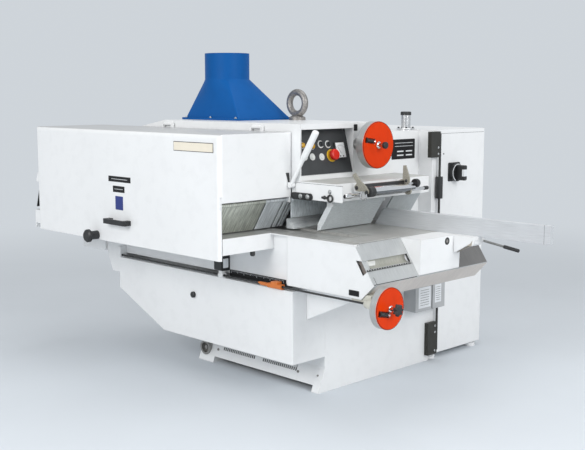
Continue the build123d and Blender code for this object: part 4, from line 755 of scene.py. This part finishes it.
# Bare plates on the overarm, skirt and junction box
arm_face = end_of("overarm")
data_plate = [(0.346, 1.237, 0.206, 0.112)]
data_marks = [(0.350, up, 0.160, 0.0025) for up in (1.272, 1.254)]
data_marks += [(right, up, 0.056, 0.007) for right in (0.318, 0.396) for up in (1.225, 1.203)]
small_plate = [(-0.062, 1.368, 0.027, 0.035)]
piece("data_plate", black_plate, "frame", plates(arm_face, data_plate, thick=0.0016, radius=0.006))
piece(
    "data_plate_fields", white_plate, "frame", plates(arm_face, data_marks, LINE, radius=0.001, lift=0.0017)
)
piece("overarm_small_plate", black_plate, "frame", plates(arm_face, small_plate, thick=0.003, radius=0.004))
skirt_plate = [(0.835, 0.622, 0.064, 0.027)]
piece("skirt_plate", black_plate, "frame", plates(front_of("table_front_skirt"), skirt_plate))
box_face = end_of("junction_box")
junction_plates = ((0.336, 0.410, 0.110, 0.118), (0.459, 0.417, 0.058, 0.104))
junction_lines = []
for right, up, width, height in junction_plates:
    for step in range(-3, 4):
        junction_lines.append((right, up + height * 0.12 * step, width * 0.72, 0.002))
piece("junction_plates", white_plate, "frame", plates(box_face, junction_plates))
piece(
    "junction_plate_lines", ink, "frame", plates(box_face, junction_lines, LINE, radius=0.0008, lift=0.0016)
)

# Front plate, link bar, bolts and ring pin on the guard block's front
guard_face = front_of("guard_block")
guard_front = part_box("guard_block")[0].y
guard_corner = [radians(90 + 15 * step) for step in range(7)]
link_thick = 0.008
link_z = 1.031
pin_y = guard_front - 0.007
pin_z = 1.036


def guard_outline(grow):
    """Outline of the front plate with its round corner, grown up and to the left."""
    corner_x = 0.3114
    corner_z = 1.0860
    plate_end = 0.6255
    plate_bottom = 1.0166
    reach = 0.0120 + grow
    outline = [(corner_x + reach * cos(a), corner_z + reach * sin(a)) for a in guard_corner]
    outline += [(corner_x - reach, plate_bottom), (plate_end, plate_bottom)]
    return outline + [(plate_end, corner_z + reach)]


link = moved(rounded(0.150, 0.036, 0.017), 0.348, link_z)
piece("guard_seam", ink, "frame", plate(guard_face, guard_outline(0.0015), LINE, 0.0001))
piece("guard_plate", white, "frame", plate(guard_face, guard_outline(0.0), 0.0010, 0.0003, 0.0002))
piece("guard_link", black, "frame", plate(guard_face, link, link_thick, 0.0012))
link_faces = [basis((x, guard_front - link_thick, link_z), FRONT) for x in (0.341, 0.391)]
bolts = each(hex_bolt, link_faces, 0.0085, 0.007)
bolts += hex_bolt(basis((0.539, guard_front, 1.066), FRONT), 0.008, 0.006)
piece("guard_bolts", steel, "frame", bolts)
ring_pin = tube([(0.492, pin_y, pin_z), (0.532, pin_y, pin_z)], 0.006)
ring_pin += torus(basis((0.546, pin_y, pin_z - 0.002), FRONT), 0.016, 0.0045)
pin_foot = [(0.010, 0), (0.010, 0.004), (0.008, 0.006)]
ring_pin += turned(basis((0.505, guard_front, pin_z), FRONT), pin_foot, 20)
piece("guard_ring_pin", dark_steel, "frame", ring_pin)

# Controls on the leaning panel
panel_up = Vector((-0.064, 0, 0.236)).normalized()
panel_out = Vector((0.236, 0, 0.064)).normalized()
panel_foot = Vector((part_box("overarm")[1].x, 0, 1.130)) + panel_out * -0.00179


def on_panel(y, up):
    """Face on the panel at a place across and up."""
    return basis(panel_foot + Vector((0, y, 0)) + panel_up * up, panel_out, panel_up)


button_faces = [on_panel(-0.420, 0.099), on_panel(-0.365, 0.097), on_panel(-0.295, 0.094)]
selector_faces = [on_panel(-0.287, 0.161), on_panel(-0.232, 0.159)]
lamp_faces = [on_panel(-0.426, 0.160), on_panel(-0.354, 0.152)]
lamp_dome = [(0.0138, 0), (0.0138, 0.010), (0.0115, 0.0145), (0.006, 0.0168), (0.001, 0.0175)]
bezels = each(washer, button_faces, 0.0114, 0.0185, 0.0, 0.004)
bezels += each(washer, selector_faces, 0.0145, 0.0205, 0.0, 0.003)
piece("panel_bezels", pale_plastic, "frame", bezels)
piece("lamp_bezels", chrome, "frame", each(washer, lamp_faces, 0.0140, 0.0180, 0.0, 0.005))
piece("panel_lamps", amber, "frame", each(turned, lamp_faces, lamp_dome))
piece("stop_collar", yellow, "frame", washer(on_panel(-0.221, 0.098), 0.0114, 0.0335, 0.0, 0.0035))

# Dial, marks, needle and screws of the meter
meter_at = on_panel(-0.153, 0.123)
dial_front = 0.01205
mark_front = dial_front + 0.00065
needle_foot = meter_at @ Matrix.Translation((0.0, -0.018, 0))
needle = [(-0.0009, 0.0), (0.0009, 0.0), (0.0003, 0.040), (-0.0003, 0.040)]
dial = rounded(0.066, 0.080, 0.003)
piece("meter_dial", dial_white, "frame", plate(meter_at, dial, 0.0006, 0.0002, dial_front))
marks = []
for step in range(11):
    long = 0.007 if step % 5 == 0 else 0.0045
    mark_face = needle_foot @ Matrix.Rotation(radians(9 * step - 45), 4, "Z")
    mark = moved(rounded(0.0012, long, 0.0005), 0, 0.046 - long / 2)
    marks += plate(mark_face, mark, LINE, 0.0001, mark_front)
needle_face = needle_foot @ Matrix.Rotation(radians(28), 4, "Z")
marks += plate(needle_face, needle, 0.0004, 0.0001, mark_front + LINE)
screw_faces = [meter_at @ Matrix.Translation((right, -0.033, mark_front)) for right in (-0.010, 0.012)]
marks += each(turned, screw_faces, [(0.004, 0), (0.004, 0.001), (0.003, 0.0014)], 20)
piece("meter_marks", ink, "frame", marks)

# Main switch plate with its collar and arc, grip end with a bare tag, seam and screw on the cabinet door
door_face = end_of("cabinet_body")
switch_middle = middle_of("main_switch_handle")
switch_plate = moved(rounded(0.112, 0.109, 0.008), switch_middle.y - 0.002, switch_middle.z + 0.0035)
collar_face = door_face @ Matrix.Translation((switch_middle.y, switch_middle.z, 0))
switch_base = plate(door_face, switch_plate, 0.006, 0.0015)
switch_base += washer(collar_face, 0.0458, 0.0515, 0.0055, 0.030)
piece("main_switch_plate", black, "door", switch_base)
arc_turn = [radians(75 + 170 * step / 20) for step in range(21)]
arc = [(0.0510 * cos(a), 0.0510 * sin(a)) for a in arc_turn]
arc += [(0.0463 * cos(a), 0.0463 * sin(a)) for a in reversed(arc_turn)]
arc_rings = [raised(collar_face, arc, height) for height in (0.0292, 0.0306)]
piece("main_switch_arc", white_plate, "door", [(True, arc_rings)])
grip_end = hub_of("main_switch_handle") @ Matrix.Translation((0, 0, -0.0005))
grip_tag = plate(grip_end, rounded(0.0292, 0.040, 0.001), 0.0151, 0.0008, 0.010)
piece("switch_grip_end", black, "main_switch", plate(grip_end, rounded(0.028, 0.088, 0.006), 0.0245, 0.003))
piece("switch_label", white_plate, "main_switch", grip_tag)
piece("door_seam", ink, "door", plates(door_face, [(0.782, 1.320, 0.440, 0.0016)], LINE))
screw_face = door_face @ Matrix.Translation((0.6014, 1.203, 0))
screw = [(0.0045, -0.001), (0.0045, 0.0015), (0.0025, 0.0028)]
piece("door_screw", dark_steel, "door", turned(screw_face, screw, 16))

# Screws on the hinge covers
screw_faces = [basis((0.451, 0.512, z), INFEED) for z in (1.244, 1.208, 0.170, 0.208, 0.060)]
piece("hinge_screws", chrome, "frame", each(cap_screw, screw_faces, 0.0065, 0.005))

# Flush plug in the end block and bumper under the outfeed table
plug_face = end_of("infeed_end_block") @ Matrix.Translation((-0.080, 0.824, 0))
bumper_face = basis((0.255, -0.740, 0.768), (0, 0, -1), BACK)
bumper = turned(bumper_face, [(0.011, 0), (0.013, 0.010), (0.013, 0.020), (0.009, 0.025)])
screw = [(0.0083, -0.002), (0.0083, 0.0001), (0.0075, 0.00018)]
piece("plug_and_bumper", rubber, "frame", washer(plug_face, 0.0085, 0.019, -0.002, 0.00022) + bumper)
piece("plug_screw", forged, "frame", turned(plug_face, screw, 24))

# Painted shade in the vent slots, as black plates, and screws on the plinth's slope
plinth_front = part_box("base_frame")[0].y
plinth_height = 0.130
plinth_run = 0.050
plinth_out = Vector((0, -plinth_height, plinth_run)).normalized()
vent_face = basis((0, -0.4066, 0.0870), plinth_out)
vent_rows = (-0.228, 0.102)
vent_shadow_places = [(row + 0.015 * (step - 8.5), 0.0, 0.0078, 0.017) for row in vent_rows for step in range(18)]
piece("vent_painted_shade", black, "frame", plates(vent_face, vent_shadow_places, thick=0.001, radius=0.001))
screws = []
for x, z, radius in ((-0.404, 0.076, 0.007), (0.248, 0.079, 0.007), (0.392, 0.085, 0.005)):
    slope_y = plinth_front + plinth_run * z / plinth_height
    screws += cap_screw(basis((x, slope_y, z), plinth_out), radius, 0.005)
piece("plinth_screws", forged, "frame", screws)

# Trough, slot, notch plate, wedge, toothed strip, flap and seams of the nose
nose_out = Vector((1, 0, 0.674)).normalized()
trough_face = basis((0.8915, 0, 0.7600), nose_out)
trough_turn = [radians(-80 + 20 * step) for step in range(9)]
trough = [(0.024 * sin(a), 0.006 - 0.022 * cos(a)) for a in trough_turn]
trough += [(0.026 * sin(a), 0.006 - 0.025 * cos(a)) for a in reversed(trough_turn)]
trough_rings = [[trough_face @ Vector((y, up, out)) for up, out in trough] for y in (-0.578, -0.306)]
piece("nose_trough", trough_grey, "frame", [(True, trough_rings)])
slot_face = basis((0.8895, -0.306, 0.7600), nose_out)
piece("nose_slot", black, "frame", plate(slot_face, oblong(-0.004, 0.010, -0.030, 0.026), 0.004, 0.001))
notch_face = basis((0, -0.608, 0), FRONT)
notch = [(0.838, 0.790), (0.872, 0.790), (0.899, 0.750), (0.919, 0.720), (0.890, 0.702), (0.868, 0.725)]
piece("nose_notch_back", notch_brown, "frame", plate(notch_face, notch, 0.004))
wedge_face = basis((0.862, -0.566, 0.757), nose_out)
wedge = [(-0.026, -0.020), (0.030, -0.020), (0.044, 0.002), (0.020, 0.018), (-0.026, 0.010)]
piece("nose_wedge", pale_plastic, "frame", plate(wedge_face, wedge, 0.018, 0.004))
rack_face = basis((0.9117, -0.449, 0.7355), nose_out)
tooth_places = [(-0.168 + 0.018 * step, 0.0005, 0.004, 0.004) for step in range(18)]
teeth = plates(rack_face, tooth_places, thick=0.0008, radius=0.001, lift=0.003)
piece("nose_rack", dark_steel, "frame", plate(rack_face, oblong(-0.176, 0.147, -0.004, 0.004), 0.003))
piece("nose_rack_teeth", pale_plastic, "frame", teeth)
nose_flap = basis((0.8960, -0.6140, 0.7500), nose_out)
piece("nose_flap", sheet, "frame", plate(nose_flap, oblong(-0.0125, 0.0125, -0.030, 0.032), 0.003))
seam_face = basis((0.9527, 0, 0.6748), nose_out)
seams = plate(seam_face, oblong(-0.622, -0.305, -0.0018, 0.0018), 0.0008, 0.0002)
seams += plate(rack_face, oblong(-0.1545, -0.1520, -0.072, -0.036), 0.0008, 0.0002)
piece("nose_seam", dark_steel, "frame", seams)

# Strips of the splinter curtain, which lean inwards, and two fixed strips beside them, with painted
# highlights along their lit edges
curtain_x = 0.245
curtain_z = 1.008
curtain_low, curtain_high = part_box("splinter_curtain")
curtain_fall = Vector((-0.095, 0, -0.146)).normalized()
curtain_out = Vector((-curtain_fall.z, 0, curtain_fall.x))
curtain_face = basis((curtain_x, 0, curtain_z), curtain_out, -curtain_fall)
curtain_length = 0.176
strip_front = 0.008
strip_thick = 0.006
highlight_width = 0.004


def strips(spans):
    """Hanging strips, each from one place along the rod to another."""
    forms = []
    for start, end in spans:
        outline = oblong(start, end, -curtain_length, 0.004)
        forms += plate(curtain_face, outline, strip_thick, 0.001, strip_front - strip_thick)
    return forms


def strip_edges(places):
    """Painted highlights: thin bright plates along the lit edges of the strips."""
    forms = []
    for start in places:
        outline = oblong(start, start + highlight_width, -curtain_length, 0)
        forms += plate(curtain_face, outline, 0.0012, 0.0003, strip_front)
    return forms


rod = tube([(curtain_x, curtain_low.y, curtain_z), (curtain_x, curtain_high.y, curtain_z)], 0.0105, 20)
curtain = rod + strips([(-0.938, -0.648), (-0.639, -0.525), (-0.515, -0.490)])
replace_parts(piece("curtain_strips", curtain_finish, "curtain", curtain), "splinter_curtain")
piece("curtain_edge_highlights", comb_finish, "curtain", strip_edges((-0.639, -0.515)))
piece("end_strips", curtain_finish, "frame", strips([(-0.4785, -0.467), (-0.4585, -0.440)]))
piece("end_strip_edge_highlights", comb_finish, "frame", strip_edges((-0.4585,)))

# Rear lamellae that hang from the guard block, and the comb on the table behind them
lamella_faces = [basis((0.262, guard_front + 0.012 * step, 1.006), INFEED) for step in range(35)]
lamellae = block((0.242, guard_front, 1.003), (0.2805, -0.060, 1.0158))
lamellae += each(plate, lamella_faces, oblong(0.0, 0.0098, -0.092, 0.0), 0.006, 0.0008)
piece("rear_lamellae", lamella_finish, "frame", lamellae)
tooth = [(0.0, 0.0), (0.052, 0.0), (0.052, 0.006), (0.010, 0.052), (0.0, 0.052)]
tooth_faces = [basis((0.205, -0.448 + 0.0095 * step, table_top + 0.0005), FRONT) for step in range(28)]
piece("rear_comb", comb_finish, "frame", each(plate, tooth_faces, tooth, 0.0065, 0.0008))

# Scale in front of the bed
scale_face = basis((0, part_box("table_front_skirt")[1].y, 0), FRONT)
scale = moved(rounded(0.427, 0.036, 0.002), 0.1435, 0.598)
mark_places = []
for step in range(41):
    long = 0.016 if step % 10 == 0 else 0.011 if step % 5 == 0 else 0.007
    mark_places.append((-0.056 + 0.010 * step, 0.614 - long / 2, 0.0016, long))
scale_marks = plates(scale_face, mark_places, thick=0.0004, radius=0.0005, lift=0.0061)
piece("setting_scale", black_plate, "frame", plate(scale_face, scale, 0.006, 0.0008))
piece("setting_scale_marks", white_plate, "frame", scale_marks)

# Setting shaft, threaded where the pointer travels
shaft_low, shaft_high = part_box("setting_shaft")
shaft_middle = middle_of("setting_shaft")
shaft_face = basis((shaft_low.x, shaft_middle.y, shaft_middle.z), INFEED)
shaft_radius = 0.0052
thread_start = -0.070
thread_pitch = 0.004
shaft = [(shaft_radius, 0)]
for step in range(108):
    thread = thread_start + thread_pitch * step - shaft_low.x
    shaft += [(shaft_radius, thread), (shaft_radius + 0.0008, thread + thread_pitch / 2)]
shaft += [(shaft_radius, 0.364 - shaft_low.x), (shaft_radius, shaft_high.x - shaft_low.x)]
threaded_shaft = piece("threaded_shaft", dark_steel, "lower_wheel", turned(shaft_face, shaft, 16))
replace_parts(threaded_shaft, "setting_shaft")

# Tag on the pointer
tag_face = basis((0, -0.6425, 0), FRONT)
tag = [(0.192, 0.586), (0.214, 0.577), (0.266, 0.577), (0.266, 0.5945), (0.205, 0.5945), (0.192, 0.5905)]
piece("pointer_tag", orange, "pointer", plate(tag_face, tag, 0.0045, 0.001))

# Rib under the fence carrier and the strip along its gusset, in painted shade: beige-brown for white paint in
# shadow
rib_thick = 0.006
carrier_face = basis((0, rib_thick, 0), FRONT)
rib = [(0.9628, 0.757), (1.058, 0.8050), (0.9628, 0.8050)]
gusset_face = front_of("fence_carrier") @ Matrix.Translation((0, 0, -0.0001))
gusset = [(1.0420, 0.8046), (1.0700, 0.8046), (1.0745, 0.8340), (1.0640, 0.8172)]
rib_forms = plate(carrier_face, rib, rib_thick, 0.0008) + plate(gusset_face, gusset, 0.0006, 0.0002)
piece("carrier_rib", rib_shade_finish, "fence", rib_forms)

# Apron of the bed under the outfeed table
apron = block((-1.468, -0.622, 0.590), (-1.2245, -0.612, 0.7675))
apron += block((-1.468, -0.613, 0.590), (-1.458, -0.450, 0.735))
apron += block((-1.459, -0.613, 0.590), (-1.2245, -0.450, 0.600))
piece("bed_apron", white, "frame", apron)

# Lip plate of the table at the infeed
lip_face = flat((0, 0, table_top + 0.0005))
lip = oblong(0.700, 0.834, -0.592, -0.302)
piece("infeed_lip", table_finish, "frame", plate(lip_face, lip, 0.0052, 0.001))

# Window of the position counter
window_place = (shaft_middle.y, 0.652, 0.036, 0.050)
window = plates(end_of("position_counter"), [window_place], thick=0.0012, radius=0.004)
piece("counter_window", white_plate, "frame", window)

# Cone and foot of the lower wheel's bracket, its white paint darkened to cream as painted shade
bracket = hollow(basis((0.909, shaft_middle.y, shaft_middle.z), INFEED), [
    (0.007, 0), (0.014, 0.001), (0.018, 0.006), (0.0365, 0.098), (0.0365, 0.106), (0.034, 0.1085),
    (0.007, 0.109),
])
bracket += block((0.813, -0.622, 0.578), (0.935, -0.564, 0.622))
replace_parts(piece("lower_bracket", bracket_shade_finish, "frame", bracket), "wheel_bracket")

# Handwheel hubs, rim lines and knobs
upper_hub = hub_of("upper_handwheel")
lower_hub = hub_of("lower_handwheel")
hub = [(0.019, 0), (0.019, 0.003), (0.016, 0.006), (0.011, 0.008), (0.011, 0.035), (0.009, 0.036)]
knob = [(0.012, 0.036), (0.018, 0.039), (0.018, 0.052), (0.015, 0.055), (0.006, 0.056)]
piece("upper_hub", chrome, "upper_wheel", turned(upper_hub, hub))
piece("upper_rim_line", wheel_line, "upper_wheel", washer(upper_hub, 0.1205, 0.1230, 0.0, 0.0005, 96))
piece("upper_knob", black, "upper_wheel", turned(upper_hub, knob))
hub = [(0.015, 0), (0.015, 0.004), (0.010, 0.007), (0.010, 0.032), (0.008, 0.033)]
piece("lower_hub", chrome, "lower_wheel", turned(lower_hub, hub))
piece("lower_rim_line", wheel_line, "lower_wheel", washer(lower_hub, 0.0945, 0.0970, 0.0, 0.0005, 96))
star_points = 7
star_steps = 10 * star_points
star = []
for step in range(star_steps):
    a = 2 * pi * step / star_steps
    reach = 0.0245 + 0.0045 * cos(star_points * a)
    star.append((reach * cos(a), reach * sin(a)))
star_knob = turned(lower_hub, [(0.013, 0.031), (0.015, 0.034), (0.015, 0.038)])
star_knob += plate(lower_hub, star, 0.018, 0.004, 0.038)
piece("lower_star_knob", black, "lower_wheel", star_knob)


def grip_stud(name, grip, hub, bay_y, bay_z, tilt):
    """Bright stud on the inner end of a folding grip, whose bay is given from the hub."""
    along = Vector((0, cos(radians(tilt)), sin(radians(tilt))))
    at = hub.translation + Vector((0.0060, bay_y, bay_z)) + along * 0.029
    dome = [(0.0065, 0), (0.0065, 0.002), (0.0055, 0.005), (0.003, 0.007), (0.0008, 0.0075)]
    piece(name, chrome, grip, turned(basis(at, INFEED), dome, 20))


grip_stud("upper_grip_stud", "upper_grip", upper_hub, -0.068, 0.024, -8)
grip_stud("lower_grip_stud", "lower_grip", lower_hub, -0.044, -0.020, -12)

# Levers of the hold-down
roller_middle = middle_of("holddown_roller")
roller_x = roller_middle.x
roller_z = roller_middle.z
pivot_x = 0.608
pivot_z = 1.083
left_y = -0.352
right_y = -0.030
lever_thick = 0.008
left_lever = [
    (0.578, 1.146), (0.596, 1.157), (0.636, 1.116), (0.668, 1.093), (0.685, 1.073), (0.683, 1.060),
    (0.670, 1.056), (0.656, 1.070), (0.626, 1.066), (0.600, 1.068), (0.592, 1.088), (0.608, 1.108),
]
boss_turn = [radians(130 - 20 * step) for step in range(18)]
boss_turn = [a for a in boss_turn if abs(sin(a)) < 0.99]
right_lever = [(0.642, 1.180), (0.658, 1.182), (0.682, 1.118), (0.684, 1.096)]
right_lever += [(roller_x - 0.002 + 0.022 * cos(a), 1.052 + 0.022 * sin(a)) for a in boss_turn]
right_lever += [(0.596, 1.070), (0.598, 1.094), (0.640, 1.112)]
levers = plate(basis((0, left_y, 0), FRONT), left_lever, lever_thick, 0.001)
levers += plate(basis((0, right_y, 0), FRONT), right_lever, lever_thick, 0.001)
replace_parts(piece("holddown_levers", lever_plate, "holddown", levers), "holddown_arm")

# Bar, rods, knobs and roller of the hold-down
rod_x = 0.628
rod_z = 1.049
stub_x = 0.668
stub_z = 1.086
hook = [
    (0.646, 1.070), (0.638, 1.048), (0.640, 1.034), (0.652, 1.028),
    (0.668, 1.030), (0.677, 1.040), (0.676, 1.058),
]


def cross_bar(x, z, start, end, radius):
    """Round bar across the feed."""
    return tube([(x, start, z), (x, end, z)], radius)


pivot_faces = [basis((pivot_x, y - lever_thick, pivot_z), FRONT) for y in (left_y, right_y)]
pin_face = basis((0.664, right_y - lever_thick, 1.102), FRONT)
bar = block((0.636, left_y - 0.001, 1.087), (0.652, right_y - 0.007, 1.103))
bar += each(hex_bolt, pivot_faces, 0.007, 0.006)
bar += turned(pin_face, [(0.008, 0), (0.008, 0.002), (0.006, 0.003)], 24)
piece("holddown_bar", dark_steel, "holddown", bar)
rods = cross_bar(rod_x, rod_z, -0.425, left_y, 0.009)
rods += cross_bar(rod_x, rod_z, right_y, 0.155, 0.009)
rods += cross_bar(pivot_x, pivot_z, left_y - 0.001, left_y + 0.028, 0.0075)
rods += cross_bar(pivot_x, pivot_z, right_y - 0.001, 0.015, 0.0075)
rods += cross_bar(stub_x, stub_z, right_y - 0.001, 0.024, 0.006)
rods += tube([(x, -0.364, z) for x, z in hook], 0.0045)
rods += turned(basis((rod_x, -0.4698, rod_z), BACK), [
    (0.0092, 0), (0.0105, 0.001), (0.0135, 0.010), (0.0135, 0.044), (0.0110, 0.054), (0.0092, 0.055)
])
piece("holddown_rods", chrome, "holddown", rods)
knobs = turned(basis((stub_x, 0.024, stub_z), BACK), [
    (0.010, 0), (0.0215, 0.001), (0.0225, 0.004), (0.0225, 0.022), (0.020, 0.027), (0.008, 0.028)
])
knobs += turned(basis((rod_x, 0.154, rod_z), BACK), [
    (0.0098, 0), (0.0105, 0.002), (0.0105, 0.032), (0.008, 0.036)
])
knobs += turned(basis((roller_x, -0.360, roller_z), FRONT), [(0.009, 0), (0.009, 0.004), (0.006, 0.006)], 24)
piece("holddown_knobs", black, "holddown", knobs)
roll = turned(basis((roller_x, -0.351, roller_z), BACK), [
    (0.008, 0), (0.0245, 0.001), (0.0262, 0.004), (0.0262, 0.036), (0.0235, 0.0382), (0.0235, 0.310),
    (0.0225, 0.312), (0.012, 0.3125), (0.012, 0.364), (0.008, 0.365),
], 48)
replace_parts(piece("holddown_roll", roller_finish, "holddown_roll", roll), "holddown_roller")

# Bolts on the dust hood's flange and black ones on the pillar's flange
flange_thick = 0.012
flange_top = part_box("dust_hood")[0].z + flange_thick
pillar_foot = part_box("guide_pillar")[0].z
pillar_middle = middle_of("guide_pillar")
bolt_turn = [radians(45 + 90 * turn) for turn in range(4)]
bolt_faces = [flat((x, y, flange_top)) for x in (-0.780, -0.560, -0.340) for y in (-0.322, 0.096)]
piece("flange_bolts", steel, "frame", each(hex_bolt, bolt_faces, 0.006, 0.008))
pillar_axis = flat((pillar_middle.x, pillar_middle.y, pillar_foot))
bolt_offsets = [Vector((0.041 * cos(a), 0.041 * sin(a), flange_thick)) for a in bolt_turn]
bolt_faces = [flat(pillar_axis.translation + offset) for offset in bolt_offsets]
piece("pillar_bolts", black, "frame", each(hex_bolt, bolt_faces, 0.0055, 0.007))

# Guide pillar with its flange and low cap
pillar = turned(pillar_axis, [
    (0.052, 0), (0.052, 0.010), (0.050, flange_thick), (0.0275, flange_thick), (0.0275, 0.0852),
    (0.0305, 0.0855), (0.0305, 0.1015), (0.027, 0.1055), (0.008, 0.106),
], 48)
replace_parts(piece("pillar", pillar_finish, "frame", pillar), "guide_pillar")


# Floor, light and camera

def pale_stage(name):
    """Floor that fades into the backdrop colour away from the object."""
    fade_start = 2.2
    fade_end = 7.0
    made = bpy.data.materials.new(name)
    made.use_nodes = True
    tree = made.node_tree
    tree.nodes.clear()
    tone = ramp(tree, noise(tree, 0.8, 4), shade(BACKDROP, 0.98), shade(BACKDROP, 1.02))
    near = add_node(tree, "ShaderNodeBsdfDiffuse", {"Color": tone})
    far = add_node(tree, "ShaderNodeEmission", {"Color": (*BACKDROP, 1)})
    away = add_node(tree, "ShaderNodeVectorMath", {0: socket_vector(tree)}, operation="LENGTH")
    span = {"Value": away.outputs["Value"], "From Min": fade_start, "From Max": fade_end}
    fade = add_node(tree, "ShaderNodeMapRange", span, interpolation_type="SMOOTHSTEP")
    shaders = {"Fac": fade.outputs["Result"], 1: near.outputs["BSDF"], 2: far.outputs["Emission"]}
    mixer = add_node(tree, "ShaderNodeMixShader", shaders)
    add_node(tree, "ShaderNodeOutputMaterial", {"Surface": mixer.outputs["Shader"]})
    return made


bm = bmesh.new()
bmesh.ops.create_circle(bm, cap_ends=True, segments=96, radius=60.0)
floor_mesh = bpy.data.meshes.new("floor")
bm.to_mesh(floor_mesh)
bm.free()
floor_mesh.materials.append(pale_stage("pale_floor"))
floor = bpy.data.objects.new("floor", floor_mesh)
bpy.context.scene.collection.objects.link(floor)

world = bpy.data.worlds.new("studio")
bpy.context.scene.world = world
world.use_nodes = True
tree = world.node_tree
tree.nodes.clear()
soft = add_node(tree, "ShaderNodeBackground", {"Color": (0.98, 0.99, 1.0, 1), "Strength": 0.62})
seen = add_node(tree, "ShaderNodeBackground", {"Color": (*BACKDROP, 1)})
path = tree.nodes.new("ShaderNodeLightPath").outputs
direct = maths(tree, "MAXIMUM", path["Is Camera Ray"], path["Is Glossy Ray"])
direct = maths(tree, "MAXIMUM", direct, path["Is Transmission Ray"])
shaders = {"Fac": direct, 1: soft.outputs["Background"], 2: seen.outputs["Background"]}
chooser = add_node(tree, "ShaderNodeMixShader", shaders)
add_node(tree, "ShaderNodeOutputWorld", {"Surface": chooser.outputs["Shader"]})


def soft_light(name, at, size, power):
    """Square studio light aimed at the middle of the object."""
    aim = Vector((0, 0, 0.8))
    lamp = bpy.data.lights.new(name, "AREA")
    lamp.shape = "SQUARE"
    lamp.size = size
    lamp.energy = power
    made = bpy.data.objects.new(name, lamp)
    made.location = at
    made.rotation_euler = (aim - Vector(at)).to_track_quat("-Z", "Y").to_euler()
    bpy.context.scene.collection.objects.link(made)


soft_light("key", (1.0, -6.6, 3.6), 3.0, 225)
soft_light("fill", (6.0, -0.5, 3.4), 3.0, 185)
soft_light("top", (0.0, 1.0, 6.0), 3.5, 70)

lens = bpy.data.cameras.new("camera")
lens.sensor_width = 36.0
lens.lens = 60.0
camera = bpy.data.objects.new("camera", lens)
camera.location = (3.817, -3.984, 1.55)
camera.rotation_euler = (radians(82.3), 0, radians(45.3))
bpy.context.scene.collection.objects.link(camera)
bpy.context.scene.camera = camera
bpy.context.scene.view_settings.view_transform = "Standard"
